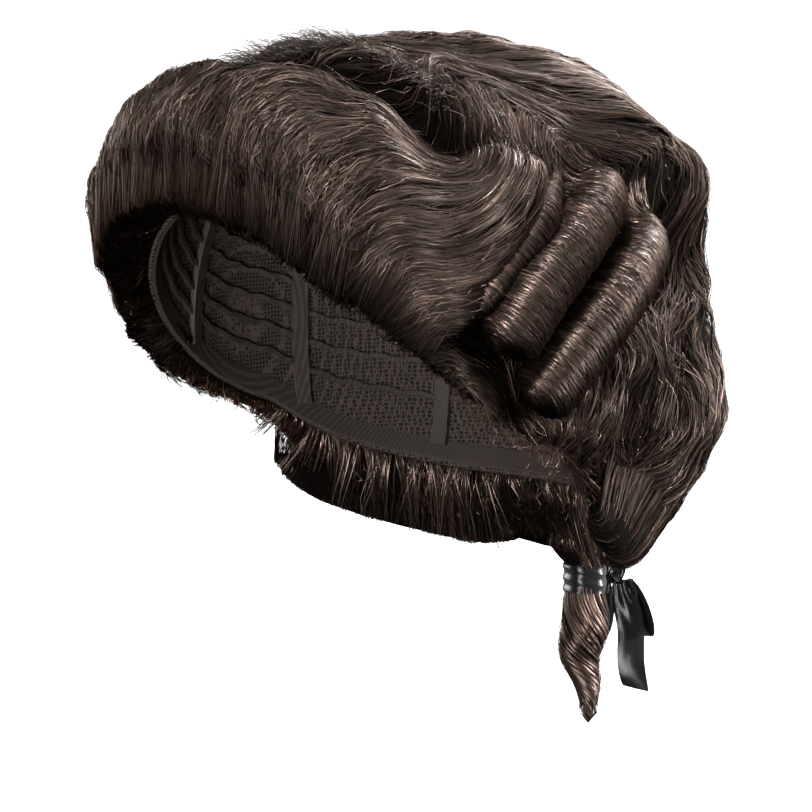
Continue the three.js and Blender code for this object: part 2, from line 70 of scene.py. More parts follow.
# The front roll ends, and the back hair starts, at these azimuths.
ROLL_END = 36
BACK_START = 132

# The side curls' middle lines from the low front end to the high back end, and their size.
UPPER_CURL = ((69, 86.5), (80, 75), (94, 65), (109, 57.5), (115, 54.5))
LOWER_CURL = ((77, 98.5), (91, 86.5), (106, 77), (122, 69), (129, 65))
CURL_HEIGHT = 19.5 * MM
CURL_FULL = 12 * MM
CURL_ENDS = (0.055, 0.06)
CURL_SUNK = 5 * MM
CURL_SHRUNK = 0.2

# The narrow ridge of rings between the side wave and the upper curl.
RIDGE_LINE = ((64, 80), (74, 70), (87, 58), (103, 49))
RIDGE_RADIUS = 7 * MM

# The hair close to these lines gets painted shade, for the grooves beside the ridge and the curls: how far,
# in degrees, and how much.
SHADED_LINES = ((RIDGE_LINE, 4.5, 0.8), (UPPER_CURL, 8.5, 0.7), (LOWER_CURL, 8.5, 0.7))

RIBBON_WIDTH = 11 * MM

# The turned-up hair at the nape.
NAPE_CURL_FROM = 105
NAPE_CURL_TO = 169
NAPE_CURL_RADIUS = 11 * MM
NAPE_CURL_HEIGHT = (18 * MM, 27 * MM)

# How the hair is combed on the wearer's left; the right is the same, mirrored.
COMBED_LEFT = {
    "roll top into hollow": ((-1, 34), (30, 38), (46, 41), (57, 47), (66, 50)),
    "wave inside": ((35, 65), (42, 57), (53, 54), (65, 53), (72, 46), (77, 37), (75, 29), (64, 21)),
    "wave middle": ((38, 71), (47, 65), (57, 65), (69, 60), (80, 50), (84, 40), (82, 31)),
    "wave outside": ((43, 75), (50, 70), (61, 70), (73, 65), (84, 56), (90, 46), (91, 38)),
    "wave edge": ((47, 79), (56, 77), (67, 75), (77, 68), (89, 58), (96, 51), (99, 45)),
    "roll near middle": ((10, 60), (9, 54), (9, 47), (12, 41), (18, 36)),
    "roll beside middle": ((19, 61), (18, 56), (19, 50), (24, 45), (33, 42), (43, 43)),
    "roll side": ((29, 64), (30, 58), (34, 52), (45, 48), (55, 50)),
    "roll end": ((34, 68), (38, 61), (46, 56), (55, 54)),
    "crown upper": ((22, 19), (52, 14), (89, 19), (117, 30), (142, 46)),
    "crown lower": ((50, 22), (74, 24), (94, 31), (108, 41), (121, 51)),
    "temple": ((58, 87), (67, 92), (75, 99), (81, 106)),
    "under curls": ((106, 50), (99, 62), (90, 75), (82, 87), (76, 98)),
    "over ear": ((121, 60), (114, 74), (106, 88), (98, 101), (92, 110)),
    "behind curls": ((127, 54), (133, 62), (128, 72), (122, 80)),
    "behind ear": ((127, 82), (116, 89), (124, 97), (125, 106), (113, 118)),
    "ear lock": ((104, 104), (103, 112), (108, 118), (104, 124)),
    "nape sweep": ((140, 92), (146, 102), (141, 112), (128, 124)),
}
COMBED_MIDDLE = {
    "roll middle": ((0, 60), (0, 50), (0, 40), (0, 31)),
    "crown": ((0, 31), (0, 16), (180, 1), (180, 16), (180, 30), (180, 46), (180, 60)),
    "back": ((180, 60), (176, 74), (183, 90), (177, 106), (180, 127)),
}
BACK_WAVE_AT = (146, 156, 167)
BACK_WAVE_SWING = 6.5
BACK_WAVE_LENGTH = 31

# Deep places between the waves: azimuth, polar angle, their spread in degrees, and the depth in mm.
# Two are rises instead, where the hair runs over the curls' upper ends.
HOLLOWS = (
    (65, 40, 5, 5, 7.5),
    (54, 33.5, 7, 3.5, 6),
    (38, 30.5, 9, 3, 4),
    (112, 104, 5, 7, 5),
    (133, 72, 5, 4, 2.5),
    (124, 92, 4, 4, 2),
    (122, 53, 6, 5, -12),
    (136, 62, 5, 5, -6),
)
VALLEY_DEPTH = 3.5
# The ridge along the front of the crown, where short hair stands up.
TUFT_LINE = ((-90, 38), (-60, 33), (-35, 30), (-9, 27), (11, 19), (30, 18), (53, 23), (70, 30), (90, 38))

UP = np.array([0.0, 0.0, 1.0])
ASIDE = np.array([1.0, 0.0, 0.0])


def smooth(t):
    """An even step from 0 to 1."""
    t = np.clip(t, 0, 1)
    return t * t * (3 - 2 * t)


def unit(rows):
    return rows / np.maximum(np.linalg.norm(rows, axis=-1, keepdims=True), 1e-12)


def ways_to(az, polar):
    """Unit ways from the head's middle to places on the wig."""
    a, p = np.radians(np.asarray(az, float)), np.radians(np.asarray(polar, float))
    return np.stack([np.sin(p) * np.sin(a), -np.sin(p) * np.cos(a), np.cos(p) + 0 * a], axis=-1)


def places_of(ways):
    """The azimuth and polar angle of unit ways."""
    az = np.degrees(np.arctan2(ways[..., 0], -ways[..., 1]))
    return az, np.degrees(np.arccos(np.clip(ways[..., 2], -1, 1)))


def head_reach(ways):
    """How far the head's own surface lies from its middle."""
    tall = np.where(ways[..., 2] > 0, HEAD_ABOVE, HEAD_BELOW)
    across, along = ways[..., 0] / HEAD_HALF_WIDTH, ways[..., 1] / HEAD_HALF_LENGTH
    return 1 / np.sqrt(across**2 + along**2 + (ways[..., 2] / tall) ** 2)


def curve_through(points, count):
    """Evenly numbered points on a smooth curve through the given ones."""
    p = np.asarray(points, float)
    p = np.vstack([2 * p[0] - p[1], p, 2 * p[-1] - p[-2]])
    t = np.linspace(0, len(points) - 1, count)
    i = np.minimum(t.astype(int), len(points) - 2)
    f = (t - i)[:, None]
    a, b, c, d = p[i], p[i + 1], p[i + 2], p[i + 3]
    return 0.5 * (2 * b + (c - a) * f + (2 * a - 5 * b + 4 * c - d) * f**2 + (3 * b - a - 3 * c + d) * f**3)


def node_points(name):
    """A CAD node's points in the row frame."""
    obj = NODES[name]
    return np.array([obj.matrix_world @ v.co for v in obj.data.vertices])


class EdgeLine:
    """How far down from the crown a dome's edge lies, round the head."""

    def __init__(self, name):
        ways = unit(node_points(name) - HEAD_MIDDLE)
        az, polar = places_of(ways)
        spokes = np.unique(np.round(az))
        low = [polar[np.abs(az - s) < 1.2].max() for s in spokes]
        self.az = np.concatenate([spokes - 360, spokes, spokes + 360])
        self.polar = np.concatenate([low, low, low])

    def __call__(self, az):
        return np.interp(az, self.az, self.polar)


# Slow swells over the hair: nine waves that cross the head in different ways, and their depth in mm.
SWELLS = unit(np.random.default_rng(5).normal(0, 1, (9, 3))) * np.linspace(24, 52, 9)[:, None]
SWELL_DEPTH = 0.9


def swell(ways):
    """How the hair swells and sinks from place to place, about -1 to 1."""
    return np.sin(ways @ SWELLS.T + np.arange(len(SWELLS)) * 2.1).sum(-1) / math.sqrt(len(SWELLS))


class HairSurface:
    """How far the frame's hair reaches from the middle of the head, seen from outside."""

    AZ_STEP = 3.0
    POLAR_STEP = 1.5
    FAR = 0.25

    def __init__(self, names):
        points, faces = [], []
        for name in names:
            first = sum(len(p) for p in points)
            points.append(node_points(name))
            faces += [[first + v for v in poly.vertices] for poly in NODES[name].data.polygons]
        tree = BVHTree.FromPolygons([Vector(p) for p in np.vstack(points)], faces)
        az = np.arange(0, 360, self.AZ_STEP)
        polar = np.arange(0, 141, self.POLAR_STEP)
        grid = np.full((len(az), len(polar)), np.nan)
        middle = Vector(HEAD_MIDDLE)
        for i, a in enumerate(az):
            for j, p in enumerate(polar):
                way = Vector(ways_to(a, p))
                hit = tree.ray_cast(middle + way * self.FAR, -way, self.FAR)[0]
                if hit is not None:
                    grid[i, j] = (hit - middle).length
            known = ~np.isnan(grid[i])
            grid[i] = np.interp(polar, polar[known], grid[i][known])
        for _ in range(3):
            grid = (np.roll(grid, 1, 0) + 2 * grid + np.roll(grid, -1, 0)) / 4
            padded = np.pad(grid, ((0, 0), (1, 1)), mode="edge")
            grid = (padded[:, :-2] + 2 * grid + padded[:, 2:]) / 4
        a, p = np.meshgrid((az + 180) % 360 - 180, polar, indexing="ij")
        for side in (1, -1):
            for at, down, wide, tall, depth in HOLLOWS:
                apart = ((side * a - at) / wide) ** 2 + ((p - down) / tall) ** 2
                grid -= depth * MM * np.exp(-apart / 2)
        fade = 1 - smooth((np.abs(a) - 70) / 40)
        grid -= VALLEY_DEPTH * MM * fade * np.exp(-(((p - CROWN_EDGE(a) - 1.5) / 2.6) ** 2))
        self.grid = grid + SWELL_DEPTH * MM * swell(ways_to(a, p))

    def painted_shade_amount(self, ways):
        """How much painted shade a place gets, 0 to 1, for lying down between the waves or in under the edge.
        """
        az, polar = places_of(ways)
        # Painted shade in the hollows, along the crown's valley, where the swells sink, beside the ridge and
        # the curls, and near the hairline's edge.
        deep = 0 * az
        for at, down, wide, tall, depth in HOLLOWS:
            if depth > 0:
                apart = ((np.abs(az) - at) / (1.25 * wide)) ** 2 + ((polar - down) / (1.25 * tall)) ** 2
                deep = deep + min(depth / 5, 1) * np.exp(-apart / 2)
        fade = 1 - smooth((np.abs(az) - 80) / 40)
        deep = deep + 0.7 * fade * np.exp(-(((polar - CROWN_EDGE(az) - 1) / 2.8) ** 2))
        deep = deep + 0.34 * np.clip(-swell(ways) - 0.1, 0, 1)
        left = ways * np.stack([np.sign(az), 1 + 0 * az, 1 + 0 * az], axis=-1)
        for line, spread, strength in SHADED_LINES:
            spots = ways_to(*curve_through(line, 16)[:14].T)
            apart = np.degrees(np.arccos(np.clip((left @ spots.T).max(-1), -1, 1)))
            deep = deep + strength * np.exp(-((apart / spread) ** 2))
        edge = (1 - smooth((HAIRLINE(az) - polar + 1) / 9)) * (0.75 - 0.3 * smooth((np.abs(az) - 40) / 20))
        return np.clip(np.maximum(deep, edge * (np.abs(az) < 110)), 0, 1)

    def reach(self, ways):
        az, polar = places_of(ways)
        x = (az % 360) / self.AZ_STEP
        y = np.clip(polar / self.POLAR_STEP, 0, self.grid.shape[1] - 1.001)
        i, j = x.astype(int), y.astype(int)
        f, g = x - i, y - j
        i, after = i % len(self.grid), (i + 1) % len(self.grid)
        near = self.grid[i, j] * (1 - g) + self.grid[i, j + 1] * g
        far = self.grid[after, j] * (1 - g) + self.grid[after, j + 1] * g
        return near * (1 - f) + far * f

    def points(self, ways, lift=0.0):
        return HEAD_MIDDLE + ways * (self.reach(ways) + lift)[..., None]

    def outward(self, ways):
        """The hair surface's own outward direction, where it leans away from the way there."""
        aside = np.where(np.abs(ways[..., 2:]) > 0.9, ASIDE, UP)
        east = unit(np.cross(aside, ways))
        north = np.cross(ways, east)
        small = 0.025
        here = self.points(ways)
        normal = np.cross(self.points(unit(ways + small * east)) - here,
                          self.points(unit(ways + small * north)) - here)
        normal *= np.sign((normal * ways).sum(-1, keepdims=True))
        return unit(unit(normal) + 0.25 * ways)


HAIR_NODES = ("crown_hair", "front_roll", "side_wave_left", "side_wave_right", "side_hair_left",
              "side_hair_right", "back_hair")
HAIRLINE = EdgeLine("cap")
CROWN_EDGE = EdgeLine("crown_hair")
SURFACE = HairSurface(HAIR_NODES)


class Combing:
    """Which way the hair is combed at any place, from the lines it is known along."""

    def __init__(self):
        spots, pulls = [], []

        def learn(places, mirror):
            az, polar = np.array(places, float).T
            line = unit(curve_through(ways_to(az, polar), 8 * len(places)))
            pull = unit(np.gradient(line, axis=0))
            spots.append(line)
            pulls.append(pull)
            if mirror:
                spots.append(line * (-1, 1, 1))
                pulls.append(pull * (-1, 1, 1))

        for places in COMBED_LEFT.values():
            learn(places, True)
        for places in COMBED_MIDDLE.values():
            learn(places, False)
        for at in BACK_WAVE_AT:
            polar = np.arange(58, 127, 4.0)
            for side in (1, -1):
                swing = BACK_WAVE_SWING * np.sin((polar - 48 - 4 * side) / BACK_WAVE_LENGTH * 2 * math.pi)
                learn(np.stack([side * (at + swing), polar], 1), False)
        self.spots = np.vstack(spots)
        self.pulls = np.vstack(pulls)

    def __call__(self, ways):
        apart = 2 - 2 * ways @ self.spots.T
        weight = 1 / (apart + 4e-4) ** 2
        pull = unit(weight @ self.pulls)
        return unit(pull - (pull * ways).sum(-1, keepdims=True) * ways)

    def trace(self, starts, lengths, steps):
        """Lines combed from unit ways, each of its own length over the hair."""
        line = [starts]
        for _ in range(steps - 1):
            here = line[-1]
            turn = lengths / (steps - 1) / SURFACE.reach(here)
            middle = unit(here + self(here) * turn[:, None] / 2)
            line.append(unit(here + self(middle) * turn[:, None]))
        return np.stack(line, axis=1)


COMBING = Combing()


def along_rows(rows, at):
    """Reads each row's points at shares of its length, one list of shares for each row."""
    x = np.clip(at, 0, 1) * (rows.shape[1] - 1)
    i = np.minimum(x.astype(int), rows.shape[1] - 2)
    f = (x - i)[..., None]
    each = np.arange(len(rows))[:, None]
    return rows[each, i] * (1 - f) + rows[each, i + 1] * f


def scatter(rng, count, keep):
    """Ways spread evenly over the head, of those that keep(az, polar) takes."""
    k = np.arange(count) + 0.5
    ways = ways_to(np.degrees(k * math.pi * (1 + 5**0.5)), np.degrees(np.arccos(1 - 2 * k / count)))
    ways = unit(ways + rng.normal(0, 0.9 / math.sqrt(count), ways.shape))
    return ways[keep(*places_of(ways))]


class Strands:
    """Flat strands of hair: points, the way each faces, widths, how light each is, and the painted shade
    along each.
    """

    def __init__(self, points, facing, width, shade, lock, tone=0.0, deep=0.0):
        count = points.shape[:2]
        self.deep = np.broadcast_to(deep, count)
        self.points = points
        self.facing = facing
        self.width = np.broadcast_to(width, count)
        self.shade = np.broadcast_to(shade, count)
        self.lock = np.broadcast_to(lock, count)
        self.tone = np.broadcast_to(tone, count)

    def mirrored(self):
        return Strands(self.points * (-1, 1, 1), self.facing * (-1, 1, 1), self.width, self.shade,
                       self.lock, self.tone, self.deep)

    def ribbons(self):
        """Corner points (two for each point) and the quads between them."""
        way = unit(np.gradient(self.points, axis=1))
        side = unit(np.cross(way, self.facing)) * self.width[..., None] / 2
        corners = np.stack([self.points - side, self.points + side], axis=2)
        count, steps = self.points.shape[:2]
        first = (np.arange(count)[:, None] * steps + np.arange(steps - 1)) * 2
        quads = np.stack([first, first + 1, first + 3, first + 2], axis=-1)
        return corners.reshape(-1, 3), quads.reshape(-1, 4)


def weave(name, batches, material, stands_for=()):
    """Makes one mesh object of several batches of strands, in place of the CAD nodes it stands for."""
    corners, quads, first = [], [], 0
    for batch in batches:
        c, q = batch.ribbons()
        corners.append(c)
        quads.append(q + first)
        first += len(c)
    corners, quads = np.vstack(corners), np.vstack(quads)
    mesh = bpy.data.meshes.new(name)
    mesh.vertices.add(len(corners))
    mesh.vertices.foreach_set("co", corners.ravel())
    mesh.loops.add(quads.size)
    mesh.loops.foreach_set("vertex_index", quads.ravel())
    mesh.polygons.add(len(quads))
    mesh.polygons.foreach_set("loop_start", np.arange(0, quads.size, 4))
    mesh.polygons.foreach_set("use_smooth", np.ones(len(quads), bool))
    mesh.update(calc_edges=True)
    # strand_deep carries the painted shade along each strand.
    for label in ("shade", "lock", "tone", "deep"):
        values = np.concatenate([np.repeat(getattr(b, label).ravel(), 2) for b in batches])
        layer = mesh.attributes.new(f"strand_{label}", "FLOAT", "POINT")
        layer.data.foreach_set("value", values.astype(np.float32))
    steps = [np.tile(np.linspace(0, 1, b.points.shape[1]), len(b.points)) for b in batches]
    layer = mesh.attributes.new("strand_along", "FLOAT", "POINT")
    layer.data.foreach_set("value", np.repeat(np.concatenate(steps), 2).astype(np.float32))
    mesh.materials.append(material)
    obj = bpy.data.objects.new(name, mesh)
    bpy.context.scene.collection.objects.link(obj)
    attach(obj, "root")
    if stands_for:
        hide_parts(*stands_for)
    return obj


def wander(rng, count, steps, size):
    """Slow sideways wander along each strand, as uncombed hair has."""
    t = np.linspace(0, 1, steps)
    slow = rng.normal(0, 1, (count, 1)) * np.sin(math.pi * t * rng.uniform(0.6, 1.6, (count, 1)))
    quick = rng.normal(0, 0.4, (count, 1)) * np.sin(
        2 * math.pi * (t * rng.uniform(1.2, 2.4, (count, 1)) + rng.uniform(0, 1, (count, 1)))
    )
    return size * (slow + quick)


def lay_locks(rng, starts, length, strands=24, width=9.0, lift=0.5, depth=1.6, frizz=0.5,
              strand_width=0.28, steps=8, lip=0.0, tuck=1.6, stray=0.16):
    """Locks combed over the hair surface. Millimetres; lip is how far under the edge they start."""
    count = len(starts)
    lock_steps = 16
    lines = COMBING.trace(starts, rng.uniform(*length, count) * MM, lock_steps)
    az, polar = places_of(lines)
    inside = polar < HAIRLINE(az) + 1.5
    last = np.where(inside.all(1), lock_steps - 1, np.argmin(inside, axis=1) - 1)
    long_enough = last >= 3
    lines, last = lines[long_enough], last[long_enough]
    count = len(lines)
    ends = last / (lock_steps - 1)

    total = count * strands
    lock_of = np.repeat(np.arange(count), strands)
    start_at = rng.uniform(0, 0.14 if lip else 0.3, total)
    end_at = rng.uniform(0.72, 1.0, total)
    t = np.linspace(0, 1, steps)
    at = (start_at[:, None] + (end_at - start_at)[:, None] * (t**1.8 if lip else t)) * ends[lock_of][:, None]
    ways = unit(along_rows(lines[lock_of], at))
    pull = unit(np.gradient(ways, axis=1))
    aside = unit(np.cross(ways, pull))
    reach = SURFACE.reach(ways)

    wisp = np.arange(total) // 3
    across = rng.uniform(-1, 1, wisp[-1] + 1)[wisp]
    half = width / 2 * MM * rng.uniform(0.75, 1.3, count)[lock_of]
    taper = 1 - rng.uniform(0.1, 0.4, wisp[-1] + 1)[wisp][:, None] * smooth((t - 0.3) / 0.7)
    spread = rng.normal(0, 0.6, (total, 1)) * MM * (1 - 0.5 * smooth(t))
    offset = (across * half)[:, None] * taper + spread
    _, polar = places_of(ways)
    near_edge = 1 - smooth((HAIRLINE(places_of(ways)[0]) - polar) / 13)
    messy = (1 + 1.3 * near_edge) * MM
    by_wisp = wander(rng, wisp[-1] + 1, steps, frizz)[wisp]
    offset += by_wisp * messy + wander(rng, total, steps, 0.5 * frizz) * messy
    astray = rng.normal(0, stray, total) * (rng.uniform(0, 1, total) < 0.2)
    offset += (astray * (end_at - start_at) * sum(length) / 2 * MM)[:, None] * (t - 0.3)
    ways = unit(ways + aside * (offset / reach)[..., None])

    crest = (1 - np.minimum(across**2, 1))[:, None] * lift * np.sin(math.pi * np.clip(t, 0.06, 0.94))
    under = rng.uniform(0, 1, wisp[-1] + 1)[wisp] * 0.7 + rng.uniform(0, 0.3, total)
    level = rng.normal(0, 0.35, count)[lock_of][:, None] - depth * under[:, None]
    rooted = -tuck * (1 - smooth(t / 0.16)) - 0.8 * tuck * smooth((t - 0.84) / 0.16)
    rise = (crest + level + rooted) * MM + np.abs(wander(rng, total, steps, frizz * 0.5 * MM))
    points = SURFACE.points(ways, rise)
    facing = SURFACE.outward(ways)

    if lip:
        # The first points come out from under the edge, then round it.
        az0, _ = places_of(ways[:, 0])
        edge = HAIRLINE(az0)
        tucked = ((-2.5, 0.12), (0.4 * lip, 0.34), (lip, 0.66), (0.75 * lip, 0.93))
        sway = wander(rng, wisp[-1] + 1, len(tucked), 1.1)[wisp] + wander(rng, total, len(tucked), 0.6)
        for k, (past, share) in enumerate(tucked):
            way = ways_to(az0 + sway[:, k], edge + past + rng.normal(0, 0.5, total))
            head, full = head_reach(way), SURFACE.reach(way)
            points[:, k] = HEAD_MIDDLE + way * (head + (full - head) * share + rise[:, k])[:, None]
        forward = unit(np.gradient(points[:, : len(tucked) + 1], axis=1))
        round_edge = unit(np.cross(aside[:, :1], forward))
        round_edge *= np.sign((round_edge * facing[:, : len(tucked) + 1]).sum(-1, keepdims=True) + 0.3)
        facing[:, : len(tucked)] = round_edge[:, : len(tucked)]

    roll = -across * 0.25 + rng.normal(0, 0.42, total)
    way = unit(np.gradient(points, axis=1))
    side = unit(np.cross(way, facing))
    facing = unit(np.cross(side, way))
    facing = facing * np.cos(roll)[:, None, None] + side * np.sin(roll)[:, None, None]
    taper = 1 - 0.55 * smooth((t - 0.7) / 0.3)
    wide = strand_width * MM * (0.7 + 1.1 * under[:, None]) * rng.uniform(0.8, 1.2, (total, 1)) * taper
    shade = 0.6 * rng.uniform(0, 1, total) + 0.4 * rng.uniform(0, 1, wisp[-1] + 1)[wisp]
    # Painted shade: the strands deepest between the waves are left out, so the near-black body shows there,
    # and strands lower among the others get more of it.
    deep = SURFACE.painted_shade_amount(unit(points - HEAD_MIDDLE))
    shown = deep[:, steps // 2] < rng.uniform(0.8, 1.0, total)
    deep = np.clip(deep + 0.85 * under[:, None], 0, 1)
    tint = rng.uniform(0, 1, count)[lock_of]
    return Strands(points[shown], facing[shown], wide[shown], shade[shown, None], tint[shown, None],
                   deep=deep[shown])


def curl_axis(places, height, steps=40):
    """A side curl's middle line."""
    az, polar = curve_through(places, steps).T
    ways = ways_to(az, polar)
    return HEAD_MIDDLE + ways * (head_reach(ways) + height)[:, None], ways


def curl_sizes(at, radius, close, shrunk=0.0):
    """A curl's radius along it: fullest in the middle, and rounded in over a share at each end."""
    ends = np.clip(np.minimum(at / close[0], (1 - at) / close[1]), 0, 1)
    full = radius * (0.97 + 0.03 * np.cos(math.pi * at)) * (1 - shrunk * smooth((at - 0.64) / 0.36))
    return full * np.sqrt(np.clip(1 - (1 - ends) ** 2, 0.01, 1))


def wind_rings(rng, axis, out, radius, count, close, sweep=(-1.0, 3.6), slant=2.5, steps=9,
               strand_width=0.26, ruffle=0.08, shaded=0.97, shrunk=0.0):
    """Strands wound round a line as on a roller. sweep is in radians from the side it lies on."""
    total = len(axis)
    way = unit(np.gradient(axis, axis=0))
    out = unit(out - (out * way).sum(-1, keepdims=True) * way)
    over = np.cross(way, out)
    length = np.linalg.norm(np.diff(axis, axis=0), axis=1).sum()
    at = rng.uniform(0, 1, count)
    lock = np.floor(at * length / (2.6 * MM))
    under = rng.uniform(0, 1, count)
    lock_level = rng.normal(0, ruffle, int(lock.max()) + 1)[lock.astype(int)]
    lock_shade = rng.uniform(0, 1, int(lock.max()) + 1)[lock.astype(int)]
    t = np.linspace(0, 1, steps)
    turn = sweep[0] + rng.normal(0, 0.25, count)
    turn = turn[:, None] + (sweep[1] - sweep[0] + rng.normal(0, 0.25, count))[:, None] * t
    drift = (t - 0.5) * slant * MM / length
    here = np.clip(at[:, None] + drift + wander(rng, count, steps, 0.3 * MM) / length, 0, 1)
    x = here * (total - 1)
    i = np.minimum(x.astype(int), total - 2)
    f = (x - i)[..., None]

    def read(rows):
        return rows[i] * (1 - f) + rows[i + 1] * f

    level = (lock_level - 0.9 * under)[:, None] + wander(rng, count, steps, 0.2)
    size = curl_sizes(here, radius, close, shrunk) + level * MM
    spoke = read(out) * np.sin(turn)[..., None] + read(over) * np.cos(turn)[..., None]
    points = read(axis) + spoke * size[..., None]
    roll = rng.normal(0, 0.24, count)[:, None, None]
    side = unit(read(way))
    facing = spoke * np.cos(roll) + side * np.sin(roll)
    wide = strand_width * MM * (0.75 + 0.9 * under[:, None]) * rng.uniform(0.8, 1.2, (count, 1)) + 0 * t
    # Painted shade on the curl's lower, back half, as much as shaded, and on the rings that lie under the
    # others.
    below = smooth((np.cos(turn) + 0.6) / 0.9)
    deep = np.clip(shaded * below + 0.5 * under[:, None], 0, 1)
    return Strands(points, facing, wide, rng.uniform(0, 1, (count, 1)), lock_shade[:, None], deep=deep)


def feed_curl(rng, axis, out, radius, count, span=(0.55, 1.0), steps=12, strand_width=0.26):
    """Hair that comes off the crown, and goes over the upper end of a curl and down its far side."""
    way = unit(np.gradient(axis, axis=0))
    out = unit(out - (out * way).sum(-1, keepdims=True) * way)
    over = np.cross(way, out)
    at = span[0] + (span[1] - span[0]) * np.sqrt(rng.uniform(0, 1, count))
    x = np.minimum((at * (len(axis) - 1)).astype(int), len(axis) - 1)
    first = 5
    t = np.linspace(0, 1, steps - first)
    turn = 2.35 + rng.normal(0, 0.1, (count, 1)) - t * (2.9 + rng.normal(0, 0.25, (count, 1)))
    size = radius * (1.02 - CURL_SHRUNK * smooth((at - 0.64) / 0.36))[:, None]
    size = size + rng.uniform(-0.6, 0.7, (count, 1)) * MM
    spoke = out[x][:, None] * np.sin(turn)[..., None] + over[x][:, None] * np.cos(turn)[..., None]
    wound = axis[x][:, None] + spoke * size[..., None]
    az, polar = (v[:, None] for v in places_of(unit(wound[:, 0] - HEAD_MIDDLE)))
    back = np.linspace(1, 0.12, first)
    far = rng.uniform(7, 17, (count, 1))
    ways = ways_to(az - 0.35 * far * back + wander(rng, count, first, 0.6), polar - far * back)
    rise = rng.uniform(-0.6, 1.4, (count, 1)) - 2.2 * smooth((back - 0.7) / 0.3)
    combed = SURFACE.points(ways, rise * MM)
    points = np.concatenate([combed, wound], axis=1)
    for _ in range(3):
        points[:, 1:-1] = (points[:, :-2] + 2 * points[:, 1:-1] + points[:, 2:]) / 4
    facing = np.concatenate([SURFACE.outward(ways), spoke], axis=1)
    side = unit(np.cross(unit(np.gradient(points, axis=1)), facing))
    roll = rng.normal(0, 0.4, (count, 1, 1))
    wide = strand_width * MM * rng.uniform(0.7, 1.3, (count, 1)) * (1 - 0.4 * np.linspace(0, 1, steps))
    # Painted shade where the hair comes off the crown from under the others, and on the curl's lower, back
    # side.
    rooted = 0.2 + 0.8 * smooth((back - 0.35) / 0.5) + 0 * ways[..., 0]
    deep = np.concatenate([rooted, 0.97 * smooth((np.cos(turn) + 0.55) / 1.0)], axis=1)
    return Strands(points, facing * np.cos(roll) + side * np.sin(roll), wide, rng.uniform(0, 1, (count, 1)),
                   rng.uniform(0, 1, (count, 1)), deep=deep)


def flicked_up(rng, axis, out, az, radius, count, steps=14, strand_width=0.34):
    """Hair that comes down to the hairline, and turns up round a line under it."""
    way = unit(np.gradient(axis, axis=0))
    out = unit(out - (out * way).sum(-1, keepdims=True) * way)
    over = np.cross(way, out)
    at = rng.uniform(0, 1, count) ** 0.85
    under = rng.uniform(0, 1, (count, 1))
    lock = np.floor(at * 14).astype(int)
    lock_shift = rng.normal(0, 1, 15)[lock]
    down = 5
    t = np.linspace(0, 1, steps - down)
    x = np.clip(at[:, None] - 0.05 * t + 0.02 * lock_shift[:, None] * t, 0.02, 0.98) * (len(axis) - 1)
    i = np.minimum(x.astype(int), len(axis) - 2)
    f = (x - i)[..., None]

    def read(rows):
        return rows[i] * (1 - f) + rows[i + 1] * f

    turn = 1.9 - t * (4.6 + 0.5 * lock_shift[:, None] + rng.normal(0, 0.35, (count, 1)))
    ends = curl_sizes(x / (len(axis) - 1), 1.0, (0.22, 0.22))
    size = radius * ends * (1.05 - 0.4 * t) - 2.2 * under * MM
    spoke = read(out) * np.sin(turn)[..., None] + read(over) * np.cos(turn)[..., None]
    curled = read(axis) + spoke * size[..., None]
    here = np.interp(at, np.linspace(0, 1, len(az)), az)[:, None]
    share = np.linspace(1, 0.04, down)
    polar = HAIRLINE(here) - share * rng.uniform(6, 34, (count, 1))
    ways = ways_to(here + 9 * share * (1 - 0.4 * share) + wander(rng, count, down, 0.8), polar)
    combed = SURFACE.points(ways, (0.8 - 2.4 * under - 1.5 * smooth((share - 0.7) / 0.3)) * MM)
    points = np.concatenate([combed, curled], axis=1)
    for _ in range(3):
        points[:, 1:-1] = (points[:, :-2] + 2 * points[:, 1:-1] + points[:, 2:]) / 4
    facing = np.concatenate([SURFACE.outward(ways), spoke], axis=1)
    side = unit(np.cross(unit(np.gradient(points, axis=1)), facing))
    roll = rng.normal(0, 0.4, (count, 1, 1))
    wide = strand_width * MM * rng.uniform(0.7, 1.3, (count, 1)) * (1 - 0.5 * np.linspace(0, 1, steps))
    # Painted shade on the strands under the others, at the turn-up's first end and near the roots.
    painted_end_shade = 0.5 * (1 - smooth(at / 0.12))[:, None]
    deep = 0.7 * under + painted_end_shade + 0.4 * smooth(1 - np.linspace(0, 3, steps))
    return Strands(points, facing * np.cos(roll) + side * np.sin(roll), wide, rng.uniform(0, 1, (count, 1)),
                   rng.uniform(0, 1, 15)[lock][:, None], deep=np.clip(deep, 0, 1))


def fly_away(rng, starts, length, rise, curl, strand_width=0.15, steps=10, tone=0.35):
    """Loose single hairs that stand off the hair and curl."""
    count = len(starts)
    lines = COMBING.trace(starts, rng.uniform(*length, count) * MM, steps)
    t = np.linspace(0, 1, steps)
    pull = unit(np.gradient(lines, axis=1))
    aside = unit(np.cross(lines, pull))
    turns = rng.uniform(*curl, (count, 1))
    phase = rng.uniform(0, 2 * math.pi, (count, 1))
    size = rng.uniform(0.6, 2.4, (count, 1)) * MM * np.sqrt(t)
    lift = rng.uniform(*rise, (count, 1)) * MM * smooth(t * 1.3) * rng.uniform(0.3, 1, (count, 1))
    ring = 2 * math.pi * turns * t + phase
    ways = unit(lines + aside * (np.sin(ring) * size / 0.11)[..., None])
    points = SURFACE.points(ways, lift + np.cos(ring) * size)
    facing = unit(SURFACE.outward(ways) + rng.normal(0, 0.6, (count, 1, 3)))
    wide = strand_width * MM * rng.uniform(0.7, 1.2, (count, 1)) * (1 - 0.5 * t)
    return Strands(points, facing, wide, rng.uniform(0.3, 1, (count, 1)),
                   rng.uniform(0, 1, (count, 1)), tone)


